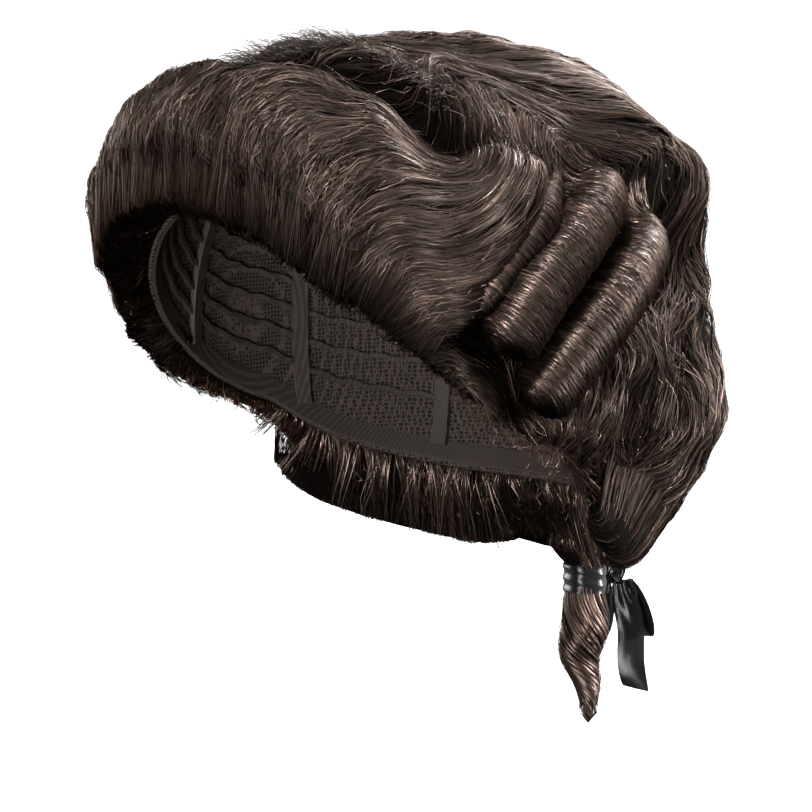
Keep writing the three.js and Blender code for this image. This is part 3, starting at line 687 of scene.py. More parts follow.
def edge_wisps(rng, count, az_range, length, tone=1.0, strand_width=0.18, steps=9, inset=2.0, drop=0.8):
    """Short curly hairs along the hairline."""
    az = rng.uniform(*az_range, count)
    polar = HAIRLINE(az) - rng.uniform(-0.4, 1, count) * inset
    ways = ways_to(az, polar)
    t = np.linspace(0, 1, steps)
    east = unit(np.cross(UP, ways))
    south = np.cross(east, ways)
    south = np.where((south[:, 2:] > 0), -south, south)
    heading = rng.normal(0, 0.7, count)
    way = unit(south * np.cos(heading)[:, None] + east * np.sin(heading)[:, None])
    side = np.cross(way, ways)
    size = rng.uniform(*length, (count, 1)) * MM
    turns = rng.uniform(0.6, 2.2, (count, 1))
    ring = 2 * math.pi * turns * t + rng.uniform(0, 6.28, (count, 1))
    curl = size * rng.uniform(0.1, 0.24, (count, 1))
    base = HEAD_MIDDLE + ways * (head_reach(ways) + rng.uniform(2.5, 8.0, count) * MM)[:, None]
    forth = size * np.sin(t * rng.uniform(1.2, 2.4, (count, 1))) * drop
    out = size * (0.35 * t + rng.uniform(0, 0.3, (count, 1)) * t)
    points = (base[:, None] + way[:, None] * (forth + curl * (np.cos(ring) - np.cos(ring[:, :1])))[..., None]
              + side[:, None] * (curl * (np.sin(ring) - np.sin(ring[:, :1])))[..., None]
              + ways[:, None] * out[..., None])
    facing = unit(np.broadcast_to(ways[:, None], points.shape) + rng.normal(0, 0.7, (count, 1, 3)))
    wide = strand_width * MM * rng.uniform(0.7, 1.2, (count, 1)) * (1 - 0.4 * t)
    return Strands(points, facing, wide, rng.uniform(0.3, 1, (count, 1)), rng.uniform(0, 1, (count, 1)), tone)


def inner_fall(rng, count, steps=7, strand_width=0.3):
    """The nape's hair as it is seen from inside the wig: from the cap's edge down into the turn-up."""
    az = rng.uniform(NAPE_CURL_FROM - 6, 366 - NAPE_CURL_FROM, count)
    from_side = np.clip((180 - np.abs(180 - az) - NAPE_CURL_FROM) / (NAPE_CURL_TO - NAPE_CURL_FROM), 0, 1)
    rise = (NAPE_CURL_HEIGHT[0] + (NAPE_CURL_HEIGHT[1] - NAPE_CURL_HEIGHT[0]) * smooth(from_side)) / MM
    t = np.linspace(0, 1, steps)
    short = (0.35 + 0.65 * smooth(4 * from_side)) * (0.6 + 0.4 * smooth((np.abs(az - 180) - 8) / 12))
    past = (-1.5 + 11.5 * t * rng.uniform(0.75, 1.05, (count, 1))) * short[:, None]
    out = 2.0 + (rise[:, None] - 5) * t**2.2 - rng.uniform(0, 1.5, (count, 1)) * np.sin(math.pi * t)
    clump = np.round(az / 3.2)
    lean = (4 * np.sin(clump * 1.9) + rng.normal(0, 2, count))[:, None] * t + wander(rng, count, steps, 0.7)
    ways = ways_to(az[:, None] + lean, HAIRLINE(az)[:, None] + past)
    points = HEAD_MIDDLE + ways * (head_reach(ways) + out * MM)[..., None]
    facing = unit(-ways + rng.normal(0, 0.45, (count, 1, 3)))
    wide = strand_width * MM * rng.uniform(0.7, 1.3, (count, 1)) * (1 - 0.4 * t)
    shade = 0.5 * rng.uniform(0, 1, count) + 0.25 * (1 + np.sin(clump * 2.3))
    return Strands(points, facing, wide, shade[:, None], rng.uniform(0, 1, (count, 1)))


def make_piece(name, points, faces, material, slot, smoothed=True):
    mesh = bpy.data.meshes.new(name)
    mesh.from_pydata([tuple(p) for p in points], [], faces)
    mesh.materials.append(material)
    if smoothed:
        mesh.polygons.foreach_set("use_smooth", [True] * len(mesh.polygons))
    mesh.update()
    obj = bpy.data.objects.new(name, mesh)
    bpy.context.scene.collection.objects.link(obj)
    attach(obj, "root")
    return obj


def new_group(name, inputs, outputs):
    """An empty shader node group with named sockets."""
    tree = bpy.data.node_groups.new(name, "ShaderNodeTree")
    for label, kind, default in inputs:
        socket = tree.interface.new_socket(label, in_out="INPUT", socket_type=f"NodeSocket{kind}")
        socket.default_value = default
    for label, kind in outputs:
        tree.interface.new_socket(label, in_out="OUTPUT", socket_type=f"NodeSocket{kind}")
    return tree, tree.nodes.new("NodeGroupInput"), tree.nodes.new("NodeGroupOutput")


def math_node(tree, operation, a, b, clamp=False):
    node = tree.nodes.new("ShaderNodeMath")
    node.operation = operation
    node.use_clamp = clamp
    for socket, value in zip(node.inputs, (a, b)):
        if isinstance(value, (int, float)):
            socket.default_value = value
        else:
            tree.links.new(value, socket)
    return node.outputs[0]


def mix_colour(tree, share, first, second, blend="MIX"):
    node = tree.nodes.new("ShaderNodeMix")
    node.data_type = "RGBA"
    node.blend_type = blend
    for socket, value in ((node.inputs[0], share), (node.inputs[6], first), (node.inputs[7], second)):
        if isinstance(value, (int, float)):
            socket.default_value = value
        elif isinstance(value, tuple):
            socket.default_value = value
        else:
            tree.links.new(value, socket)
    return node.outputs[2]


def attribute(tree, name):
    node = tree.nodes.new("ShaderNodeAttribute")
    node.attribute_name = name
    return node.outputs["Fac"]


def strand_shade_group():
    """Colour and roughness of single strands: darker roots, partly painted shade where they come out from
    under the others; lighter and redder strands among them, the red partly painted light through thin hair;
    and painted shade on the hair deep between the waves and under the others.
    """
    found = bpy.data.node_groups.get("Strand shade")
    if found:
        return found
    tree, given, put = new_group(
        "Strand shade",
        (("Dark", "Color", (0.01, 0.006, 0.004, 1)), ("Middle", "Color", (0.03, 0.02, 0.013, 1)),
         ("Light", "Color", (0.1, 0.06, 0.04, 1)), ("Loose", "Color", (0.09, 0.04, 0.02, 1)),
         ("Light share", "Float", 0.35), ("Smoothest", "Float", 0.32)),
        (("Color", "Color"), ("Roughness", "Float"), ("Painted shade", "Float")),
    )
    shade, lock = attribute(tree, "strand_shade"), attribute(tree, "strand_lock")
    along, tone = attribute(tree, "strand_along"), attribute(tree, "strand_tone")
    by_strand, by_lock = math_node(tree, "MULTIPLY", shade, 0.65), math_node(tree, "MULTIPLY", lock, 0.35)
    mixed = math_node(tree, "ADD", by_strand, by_lock)
    uneven = math_node(tree, "POWER", mixed, 1.7)
    base = mix_colour(tree, uneven, given.outputs["Dark"], given.outputs["Middle"])
    over = math_node(tree, "SUBTRACT", mixed, math_node(tree, "SUBTRACT", 1.0, given.outputs["Light share"]))
    lighter = math_node(tree, "MULTIPLY", over, 3.0, clamp=True)
    base = mix_colour(tree, lighter, base, given.outputs["Light"])
    # Darker roots: partly painted shade where the strands come out from under the others.
    root = math_node(tree, "MULTIPLY", along, 5.0, clamp=True)
    base = mix_colour(tree, math_node(tree, "SUBTRACT", 1.0, root), base, given.outputs["Dark"])
    # The loose hairs' redder colour is partly painted light shining through them.
    base = mix_colour(tree, tone, base, given.outputs["Loose"])
    # Painted shade: the hair deep between the waves and under the others goes towards near-black.
    deep = attribute(tree, "strand_deep")
    base = mix_colour(tree, math_node(tree, "MULTIPLY", deep, 0.88), base, (0.001, 0.0008, 0.0007, 1))
    tree.links.new(base, put.inputs["Color"])
    rough = math_node(tree, "ADD", math_node(tree, "MULTIPLY", shade, 0.14), given.outputs["Smoothest"])
    # The painted shade also makes the shaded hair rougher.
    rough = math_node(tree, "ADD", rough, math_node(tree, "MULTIPLY", deep, 0.4), clamp=True)
    tree.links.new(rough, put.inputs["Roughness"])
    tree.links.new(math_node(tree, "MULTIPLY", deep, 0.92), put.inputs["Painted shade"])
    return tree


def fresh_material(name):
    old = bpy.data.materials.get(name)
    if old:
        return old, None, None
    material = bpy.data.materials.new(name)
    material.use_nodes = True
    tree = material.node_tree
    return material, tree, tree.nodes["Principled BSDF"]


def hair_material(kind="hair"):
    """Satin dark brown hair, with the pinkish brown shine of single strands; tufts are greyer, a painted
    sheen of edge-lit hair.
    """
    dress = bpy.context.scene.wig_dressing
    material, tree, shader = fresh_material(f"{kind}_strands")
    if tree is None:
        return material
    group = tree.nodes.new("ShaderNodeGroup")
    group.node_tree = strand_shade_group()
    group.inputs["Dark"].default_value = (*dress.hair_dark, 1)
    group.inputs["Middle"].default_value = (*dress.hair_middle, 1)
    group.inputs["Light"].default_value = (*dress.hair_light, 1)
    # The tufts' grey is a painted sheen of edge-lit hair.
    group.inputs["Loose"].default_value = (*(dress.hair_tuft_sheen if kind == "tuft" else dress.hair_loose_backlit), 1)
    group.inputs["Smoothest"].default_value = {"hair": 0.32, "curl": 0.26, "tuft": 0.4}[kind]
    tree.links.new(group.outputs["Color"], shader.inputs["Base Color"])
    tree.links.new(group.outputs["Roughness"], shader.inputs["Roughness"])
    # Painted shade: the hair deep between the waves is made a near-black metal, which reflects nothing, so it
    # doesn't shine.
    tree.links.new(group.outputs["Painted shade"], shader.inputs["Metallic"])
    shader.inputs["IOR"].default_value = 1.55
    shader.inputs["Specular IOR Level"].default_value = 0.95
    shader.inputs["Specular Tint"].default_value = (1.0, 0.72, 0.6, 1)
    return material


def mass_material():
    """The hair under the locks, near-black: its own dark colour with painted shade under the locks, streaked
    by its own strands.
    """
    material, tree, shader = fresh_material("hair_mass")
    if tree is None:
        return material
    shader.inputs["Roughness"].default_value = 0.95
    shader.inputs["Specular IOR Level"].default_value = 0.05
    place = tree.nodes.new("ShaderNodeTexCoord")
    noise = tree.nodes.new("ShaderNodeTexNoise")
    noise.inputs["Scale"].default_value = 900
    noise.inputs["Detail"].default_value = 3
    tree.links.new(place.outputs["Object"], noise.inputs["Vector"])
    # Near-black: partly the hair's own colour, partly painted shade under the locks.
    colour = mix_colour(tree, noise.outputs[0], (0.0012, 0.0009, 0.0007, 1), (0.006, 0.004, 0.003, 1))
    tree.links.new(colour, shader.inputs["Base Color"])
    bump = tree.nodes.new("ShaderNodeBump")
    bump.inputs["Strength"].default_value = 0.6
    bump.inputs["Distance"].default_value = 0.3 * MM
    tree.links.new(noise.outputs[0], bump.inputs["Height"])
    tree.links.new(bump.outputs["Normal"], shader.inputs["Normal"])
    return material


def closed_rings(rings):
    """Points and faces of a body closed through rings of points, each end by its own ring."""
    count, sides = len(rings), len(rings[0])
    faces = [tuple(range(sides))[::-1]]
    for i in range(count - 1):
        for j in range(sides):
            a, b = i * sides + j, i * sides + (j + 1) % sides
            faces.append((a, b, b + sides, a + sides))
    faces.append(tuple((count - 1) * sides + j for j in range(sides)))
    return np.vstack(rings), faces


def round_core(name, axis, out, sizes, node, sides=20):
    """The body inside a curl, which its strands are wound on, near-black with painted shade."""
    way = unit(np.gradient(axis, axis=0))
    out = unit(out - (out * way).sum(-1, keepdims=True) * way)
    over = np.cross(way, out)
    turn = np.linspace(0, 2 * math.pi, sides, endpoint=False)[:, None]
    rings = [p + s * (o * np.cos(turn) + v * np.sin(turn)) for p, s, o, v in zip(axis, sizes, out, over)]
    core = make_piece(name, *closed_rings(rings), mass_material(), "hair")
    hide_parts(node)
    return core


def need(done, what):
    """Stops the script where an operator has nothing to show."""
    if not done:
        raise RuntimeError(f"{what} came out empty")
    return {"FINISHED"}


class WIG_OT_body(bpy.types.Operator):
    """Fills the hair under the combed locks, from the cap out"""

    bl_idname = "wig.body"
    bl_label = "Body of the hair"

    def execute(self, context):
        spokes, count = 100, 46
        az = np.linspace(-180, 180, spokes, endpoint=False)
        low = HAIRLINE(az) + 5 * smooth((np.abs(az) - 98) / 16)
        rings = []
        for share in np.linspace(0.004, 1, count):
            ways = ways_to(az, low * share)
            outside = np.maximum(SURFACE.reach(ways) - 2.6 * MM, head_reach(ways) + 3.2 * MM)
            rings.append(HEAD_MIDDLE + ways * outside[:, None])
        for share in np.linspace(1, 0.004, count // 2):
            ways = ways_to(az, low * share)
            inside = 2.2 + 9 * (low > HAIRLINE(az)) * (share == 1)
            rings.append(HEAD_MIDDLE + ways * (head_reach(ways) + inside * MM)[:, None])
        make_piece("hair_body", *closed_rings(rings), mass_material(), "hair")
        return {"FINISHED"}


class WIG_OT_crown(bpy.types.Operator):
    """Combs the hair over the crown, with the short tufts along its front edge"""

    bl_idname = "wig.crown"
    bl_label = "Crown hair"

    def execute(self, context):
        rng = np.random.default_rng(11)
        starts = scatter(rng, 1500, lambda az, polar: polar < CROWN_EDGE(az) - 1)
        locks = lay_locks(rng, starts, (46, 80), strands=26, width=6.0, lift=1.1, depth=1.6, frizz=0.7)
        weave("crown_hair_locks", [locks], hair_material(), ["crown_hair"])
        return need(len(starts), "The crown")


class WIG_OT_roll(bpy.types.Operator):
    """Brushes the front roll up and back off the brow"""

    bl_idname = "wig.roll"
    bl_label = "Front roll"

    def execute(self, context):
        rng = np.random.default_rng(12)

        def on_roll(az, polar):
            return (np.abs(az) < ROLL_END) & (polar > CROWN_EDGE(az) - 1) & (polar < HAIRLINE(az) - 2)

        starts = scatter(rng, 4200, on_roll)
        face = scatter(rng, 5200, lambda az, polar: (np.abs(az) < 26) & (polar > 42) & (polar < 60))
        starts = np.concatenate([starts, face])

        def low_on_roll(az, polar):
            return (np.abs(az) < ROLL_END + 2) & (polar > HAIRLINE(az) - 12) & (polar < HAIRLINE(az) - 1)

        low = lay_locks(rng, scatter(rng, 9500, low_on_roll), (13, 26), strands=12, width=5.0,
                        lift=1.4, depth=1.0, frizz=1.0, steps=7, tuck=1.0, stray=0.25)
        locks = lay_locks(rng, starts, (22, 42), strands=15, width=5.4,
                          lift=1.0, depth=1.4, frizz=0.8, steps=7)
        az = rng.uniform(-ROLL_END, ROLL_END, 110)
        rooted = ways_to(az, HAIRLINE(az) - 1)
        edge = lay_locks(rng, rooted, (40, 70), strands=28, width=4.6,
                         lift=0.9, depth=1.8, frizz=0.9, lip=5.0, steps=10)
        weave("front_roll_locks", [locks, low, edge], hair_material(), ["front_roll"])
        return need(len(starts), "The front roll")


class WIG_OT_waves(bpy.types.Operator):
    """Sets the side waves, which swing round their hollow over each temple"""

    bl_idname = "wig.waves"
    bl_label = "Side waves"

    def execute(self, context):
        rng = np.random.default_rng(13)

        def on_wave(az, polar):
            foot = np.interp(az, (36, 47, 64, 77, 90, 104), (72, 80, 84, 74, 62, 49))
            above_foot = (polar > CROWN_EDGE(az) - 1) & (polar < np.minimum(foot, HAIRLINE(az) - 2))
            return (az > ROLL_END) & (az < 106) & above_foot

        starts = scatter(rng, 2180, on_wave)
        locks = lay_locks(rng, starts, (40, 66), strands=24, width=5.0, lift=0.7, depth=1.3, frizz=0.45)
        az = rng.uniform(ROLL_END, 66, 70)
        rooted = ways_to(az, HAIRLINE(az) - 1)
        edge = lay_locks(rng, rooted, (36, 60), strands=30, width=4.0, lift=0.8, depth=1.6, lip=1.5, steps=10)
        _, out = curl_axis(RIDGE_LINE, 9 * MM)
        axis = SURFACE.points(out, -2.0 * MM)
        ridge = wind_rings(rng, axis, out, RIDGE_RADIUS, 1100, (0.2, 0.3),
                           sweep=(0.1, 3.1), slant=3.0, steps=8)
        for side, name in ((1, "left"), (-1, "right")):
            batches = [locks, edge, ridge]
            if side < 0:
                batches = [b.mirrored() for b in batches]
            weave(f"side_wave_{name}_locks", batches, hair_material(), [f"side_wave_{name}"])
        return need(len(starts), "The side waves")


class WIG_OT_side_hair(bpy.types.Operator):
    """Lays the short hair that the side curls rest on, and the lock behind each ear"""

    bl_idname = "wig.side_hair"
    bl_label = "Side hair"

    def execute(self, context):
        rng = np.random.default_rng(14)

        def under_curls(az, polar):
            top = np.interp(az, (58, 66, 77, 90, 104, 132), (88, 84, 72, 60, 48, 52))
            return (az > 60) & (az < BACK_START) & (polar > top) & (polar < HAIRLINE(az) - 2)

        starts = scatter(rng, 1650, under_curls)
        locks = lay_locks(rng, starts, (26, 52), strands=24, width=7.0, lift=1.4, depth=1.6, frizz=0.8)
        for side, name in ((1, "left"), (-1, "right")):
            batch = locks if side > 0 else locks.mirrored()
            weave(f"side_hair_{name}_locks", [batch], hair_material(), [f"side_hair_{name}"])
        return need(len(starts), "The side hair")


class WIG_OT_curls(bpy.types.Operator):
    """Winds the two side curls over each ear"""

    bl_idname = "wig.curls"
    bl_label = "Side curls"

    def execute(self, context):
        for seed, label, places in ((15, "upper", UPPER_CURL), (16, "lower", LOWER_CURL)):
            rng = np.random.default_rng(seed)
            axis, out = curl_axis(places, CURL_HEIGHT)
            sink = smooth((np.linspace(0, 1, len(axis)) - 0.6) / 0.4)[:, None] * CURL_SUNK
            axis = axis - out * sink
            rings = wind_rings(rng, axis, out, CURL_FULL, 2200, CURL_ENDS,
                               sweep=(-0.9, 4.1), shrunk=CURL_SHRUNK)
            feed = feed_curl(rng, axis, out, CURL_FULL, 420)
            sizes = curl_sizes(np.linspace(0, 1, len(axis)), CURL_FULL, CURL_ENDS, CURL_SHRUNK) - 1.5 * MM
            for side, name in ((1, "left"), (-1, "right")):
                node = f"{label}_curl_{name}"
                turned = np.array((side, 1, 1))
                round_core(f"{node}_core", axis * turned, out * turned, np.maximum(sizes, 0.3 * MM), node)
                batches = [rings, feed] if side > 0 else [rings.mirrored(), feed.mirrored()]
                weave(f"{node}_rings", batches, hair_material("curl"))
        return {"FINISHED"}


class WIG_OT_back(bpy.types.Operator):
    """Sets the waves of the back, down to the nape"""

    bl_idname = "wig.back"
    bl_label = "Back hair"

    def execute(self, context):
        rng = np.random.default_rng(17)

        def behind(az, polar):
            return (np.abs(az) > BACK_START) & (polar > CROWN_EDGE(az) - 1) & (polar < HAIRLINE(az) - 3)

        starts = scatter(rng, 1650, behind)
        locks = lay_locks(rng, starts, (40, 70), strands=24, width=6.6,
                          lift=1.8, depth=1.8, frizz=0.7, strand_width=0.32)
        weave("back_hair_locks", [locks], hair_material(), ["back_hair"])
        return need(len(starts), "The back")


def under_edge(az, rise, radius):
    """Where a round body of that radius meets the hair's lower edge from below."""
    ways = ways_to(az, HAIRLINE(az))
    out = head_reach(ways) + rise
    below = np.degrees(np.arcsin((radius + 0.1 * MM) / out))
    ways = ways_to(az, HAIRLINE(az) + below)
    return HEAD_MIDDLE + ways * (head_reach(ways) + rise)[:, None], ways


class WIG_OT_nape_curls(bpy.types.Operator):
    """Turns up the hair at the nape"""

    bl_idname = "wig.nape_curls"
    bl_label = "Nape curls"

    def execute(self, context):
        rng = np.random.default_rng(18)
        t = np.linspace(0, 1, 40)
        az = NAPE_CURL_FROM + (NAPE_CURL_TO - NAPE_CURL_FROM) * t
        rise = NAPE_CURL_HEIGHT[0] + (NAPE_CURL_HEIGHT[1] - NAPE_CURL_HEIGHT[0]) * smooth(t)
        axis, out = under_edge(az, rise, NAPE_CURL_RADIUS)
        flick = flicked_up(rng, axis, out, az, NAPE_CURL_RADIUS, 1600)
        sizes = np.maximum(curl_sizes(t, NAPE_CURL_RADIUS, (0.2, 0.2)) - 3.5 * MM, 0.3 * MM)
        for side, name in ((1, "left"), (-1, "right")):
            turned = np.array((side, 1, 1))
            round_core(f"nape_curl_{name}_core", axis * turned, out * turned, sizes, f"nape_curl_{name}")
            weave(f"nape_curl_{name}_locks", [flick if side > 0 else flick.mirrored()], hair_material())
        return {"FINISHED"}


def queue_line(steps=60):
    """The queue's middle line and radius, read off the frame level by level."""
    points = node_points("queue")
    high, low = points[:, 2].max(), points[:, 2].min()
    levels = np.unique(np.round(points[:, 2], 5))
    rows = []
    for z in levels:
        ring = points[np.abs(points[:, 2] - z) < 2e-5]
        middle = (ring.min(0) + ring.max(0)) / 2
        size = (ring.max(0) - ring.min(0))[:2].mean() / 2
        rows.append((z, middle[0], middle[1], size))
    rows = np.array(rows)
    z = np.linspace(high, low, steps)
    x, y, radius = (np.interp(z, rows[:, 0], rows[:, k]) for k in (1, 2, 3))
    return np.stack([x, y, z], 1), radius


class WIG_OT_queue(bpy.types.Operator):
    """Gathers the queue and twists its ringlet"""

    bl_idname = "wig.queue"
    bl_label = "Queue"

    def execute(self, context):
        rng = np.random.default_rng(19)
        line, radius = queue_line()
        count, steps = 1000, 17
        start = rng.uniform(0, 0.35, (count, 1)) ** 1.3
        end = np.minimum(start + rng.uniform(0.4, 0.9, (count, 1)), 1)
        t = np.linspace(0, 1, steps)
        at = start + (end - start) * t
        x = at * (len(line) - 1)
        i = np.minimum(x.astype(int), len(line) - 2)
        f = x - i
        middle = line[i] * (1 - f)[..., None] + line[i + 1] * f[..., None]
        size = radius[i] * (1 - f) + radius[i + 1] * f
        lock = rng.integers(0, 7, (count, 1))
        twist = 5.5 * smooth((at - 0.25) / 0.75) * np.maximum(at - 0.2, 0) * 1.4
        turn = lock * 0.9 + rng.normal(0, 0.22, (count, 1)) + twist
        away = size * rng.uniform(0.72, 1.02, (count, 1)) + wander(rng, count, steps, 0.4 * MM)
        spoke = np.stack([np.cos(turn), np.sin(turn), 0 * turn], -1)
        points = middle + spoke * away[..., None]
        roll = rng.normal(0, 0.4, (count, 1, 1))
        aside = np.stack([-np.sin(turn), np.cos(turn), 0 * turn], -1)
        wide = 0.4 * MM * rng.uniform(0.7, 1.3, (count, 1)) * (1 - 0.5 * smooth((t - 0.7) / 0.3))
        strands = Strands(points, spoke * np.cos(roll) + aside * np.sin(roll), wide,
                          rng.uniform(0, 1, (count, 1)), lock / 6.0)
        sizes = np.maximum(radius - 2 * MM, 0.3 * MM)
        round_core("queue_core", line, np.broadcast_to(ASIDE, line.shape), sizes, "queue")
        weave("queue_locks", [strands], hair_material())
        return {"FINISHED"}


def standing_tufts(rng, count, steps=7):
    """Short hair that stands up along the crown's front ridge and leans over the valley before it."""
    cluster = rng.uniform(0, 1, count)
    az = np.where(cluster < 0.5, rng.normal(2, 17, count), rng.normal(60, 10, count))
    az = np.clip(np.where(cluster > 0.68, rng.normal(10, 45, count), az), -88, 88)
    clump = np.round(az / 1.9)
    polar = np.interp(az, *np.array(TUFT_LINE).T) + rng.normal(0, 2.2, count)
    ways = ways_to(az, polar)
    t = np.linspace(0, 1, steps)
    east = unit(np.cross(UP, ways))
    south = np.cross(east, ways)
    size = (rng.uniform(5, 13, count) * np.where(np.abs(az - 2) < 30, 1.0, 0.75))[:, None] * MM
    lean = 0.7 * np.sin(clump * 2.7) - 0.5
    heading = (lean + rng.normal(0, 0.45, count))[:, None]
    bow = size * (0.35 + 0.6 * t) * t
    stand = size * np.sin(t * rng.uniform(1.1, 2.0, (count, 1))) * rng.uniform(0.25, 0.85, (count, 1))
    wave = 0.08 * size * np.sin(t * rng.uniform(3, 8, (count, 1)))
    forth = 0.9 * bow * np.cos(heading)
    sideways = bow * np.sin(heading) + wave
    points = (SURFACE.points(ways, -1.5 * MM)[:, None] + south[:, None] * forth[..., None]
              + east[:, None] * sideways[..., None] + ways[:, None] * stand[..., None])
    facing = unit(south[:, None] * 0.5 + ways[:, None] + rng.normal(0, 0.5, (count, 1, 3)) + 0 * points)
    wide = 0.24 * MM * rng.uniform(0.6, 1.2, (count, 1)) * (1 - 0.5 * t)
    return Strands(points, facing, wide, rng.uniform(0, 1, (count, 1)), rng.uniform(0, 1, (count, 1)), 1.0,
                   rng.uniform(0, 0.6, (count, 1)))


class WIG_OT_loose_hair(bpy.types.Operator):
    """Adds the loose single hairs, the tufts on the crown and the curly wisps along the hairline"""

    bl_idname = "wig.loose_hair"
    bl_label = "Loose hair"

    def execute(self, context):
        rng = np.random.default_rng(20)
        over = scatter(rng, 2350, lambda az, polar: polar < HAIRLINE(az) - 4)
        loose = fly_away(rng, over, (14, 44), (0.5, 5.0), (0.0, 1.3))
        rim = edge_wisps(rng, 650, (-62, 62), (3, 8))
        ears = edge_wisps(rng, 500, (62, 124), (4, 11), inset=4)
        other = edge_wisps(rng, 500, (62, 124), (4, 10), inset=4).mirrored()
        nape = edge_wisps(rng, 300, (124, 236), (8, 18), tone=0.3)
        inner = inner_fall(rng, 1700)
        weave("crown_tufts", [standing_tufts(rng, 1600)], hair_material("tuft"))
        over = scatter(rng, 2400, lambda az, polar: polar < HAIRLINE(az) - 4)
        short = fly_away(rng, over, (5, 13), (1.2, 3.4), (0.2, 1.0), steps=6, tone=0.1)
        weave("loose_hairs", [loose, short], hair_material())
        weave("hairline_wisps", [rim, ears, other, nape, inner], hair_material())
        return {"FINISHED"}


def net_material():
    """Stretch net: fine hexagonal holes in dark brown yarn."""
    dress = bpy.context.scene.wig_dressing
    material, tree, shader = fresh_material("cap_stretch_net")
    if tree is None:
        return material
    place = tree.nodes.new("ShaderNodeTexCoord")
    cells = tree.nodes.new("ShaderNodeTexVoronoi")
    cells.feature = "DISTANCE_TO_EDGE"
    cells.inputs["Scale"].default_value = 620
    cells.inputs["Randomness"].default_value = 0.35
    tree.links.new(place.outputs["Object"], cells.inputs["Vector"])
    yarn = math_node(tree, "MULTIPLY", cells.outputs["Distance"], 4.5, clamp=True)
    colour = mix_colour(tree, yarn, (*dress.net, 1), (0.004, 0.003, 0.0025, 1))
    tree.links.new(colour, shader.inputs["Base Color"])
    shader.inputs["Roughness"].default_value = 0.85
    bump = tree.nodes.new("ShaderNodeBump")
    bump.invert = True
    bump.inputs["Strength"].default_value = 0.8
    bump.inputs["Distance"].default_value = 0.35 * MM
    tree.links.new(yarn, bump.inputs["Height"])
    tree.links.new(bump.outputs["Normal"], shader.inputs["Normal"])
    return material


def tape_material():
    """Woven edging and weft tape."""
    dress = bpy.context.scene.wig_dressing
    material, tree, shader = fresh_material("cap_tape")
    if tree is None:
        return material
    place = tree.nodes.new("ShaderNodeTexCoord")
    weave_lines = tree.nodes.new("ShaderNodeTexWave")
    weave_lines.inputs["Scale"].default_value = 320
    weave_lines.inputs["Distortion"].default_value = 2
    tree.links.new(place.outputs["Object"], weave_lines.inputs["Vector"])
    dark = tuple(c * 0.5 for c in dress.tape)
    colour = mix_colour(tree, weave_lines.outputs[1], (*dark, 1), (*dress.tape, 1))
    tree.links.new(colour, shader.inputs["Base Color"])
    shader.inputs["Roughness"].default_value = 0.7
    bump = tree.nodes.new("ShaderNodeBump")
    bump.inputs["Strength"].default_value = 0.5
    bump.inputs["Distance"].default_value = 0.2 * MM
    tree.links.new(weave_lines.outputs[1], bump.inputs["Height"])
    tree.links.new(bump.outputs["Normal"], shader.inputs["Normal"])
    return material


def band_over(name, az, polar, wide, high, material):
    """A flat tape laid on the cap's inside along places, turned to lie on it."""
    ways = ways_to(az, polar)
    line = HEAD_MIDDLE + ways * (head_reach(ways) + 0.3 * MM)[:, None]
    way = unit(np.gradient(line, axis=0))
    side = unit(np.cross(way, ways))
    corners = []
    for across, up in ((-0.5, 0), (-0.42, -1), (0.42, -1), (0.5, 0)):
        corners.append(line + side * wide * across + ways * up * high)
    points = np.stack(corners, 1).reshape(-1, 3)
    faces = []
    for k in range(len(line) - 1):
        for c in range(4):
            a, b = k * 4 + c, k * 4 + (c + 1) % 4
            faces.append((a, b, b + 4, a + 4))
    faces += [(0, 3, 2, 1), tuple(len(points) - 4 + c for c in range(4))]
    return make_piece(name, points, faces, material, "cap_net", smoothed=False)


class WIG_OT_cap(bpy.types.Operator):
    """Sews the net cap with its wefts, tapes and edging"""

    bl_idname = "wig.cap"
    bl_label = "Net cap"

    def execute(self, context):
        spokes, rings = 80, 30
        points, faces = [], []
        for wall in (0.2 * MM, 1.6 * MM):
            for i in range(rings + 1):
                az = np.linspace(-180, 180, spokes, endpoint=False)
                polar = HAIRLINE(az) * max(i / rings, 0.002)
                ways = ways_to(az, polar)
                points.append(HEAD_MIDDLE + ways * (head_reach(ways) + wall)[:, None])
        points = np.vstack(points)
        layer = (rings + 1) * spokes
        for i in range(rings):
            for j in range(spokes):
                a, b = i * spokes + j, i * spokes + (j + 1) % spokes
                faces.append((a, b, b + spokes, a + spokes))
                faces.append((layer + a, layer + a + spokes, layer + b + spokes, layer + b))
        for j in range(spokes):
            a, b = rings * spokes + j, rings * spokes + (j + 1) % spokes
            faces.append((a, b, layer + b, layer + a))
        faces.append(tuple(range(spokes))[::-1])
        faces.append(tuple(layer + j for j in range(spokes)))
        net = make_piece("cap_net", points, faces, net_material(), "cap_net")
        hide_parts("cap")
        tape = tape_material()
        turn = np.linspace(-180, 180, 181)
        band_over("cap_edging", turn, HAIRLINE(turn) - 3.2, 9 * MM, 1.2 * MM, tape)
        for k, share in enumerate(np.linspace(0.16, 0.88, 12)):
            wave = HAIRLINE(turn) * share + 0.35 * np.sin(np.radians(turn) * 40 + k)
            band_over(f"cap_weft_{k + 1}", turn, wave, 2.2 * MM, 1.6 * MM, tape)
        for k, az in enumerate((-150, -110, -70, -25, 25, 70, 110, 150)):
            span = np.linspace(4, HAIRLINE(az) - 4, 40)
            band_over(f"cap_strap_{k + 1}", az + 0 * span, span, 7 * MM, 1.9 * MM, tape)
        return {"FINISHED"}


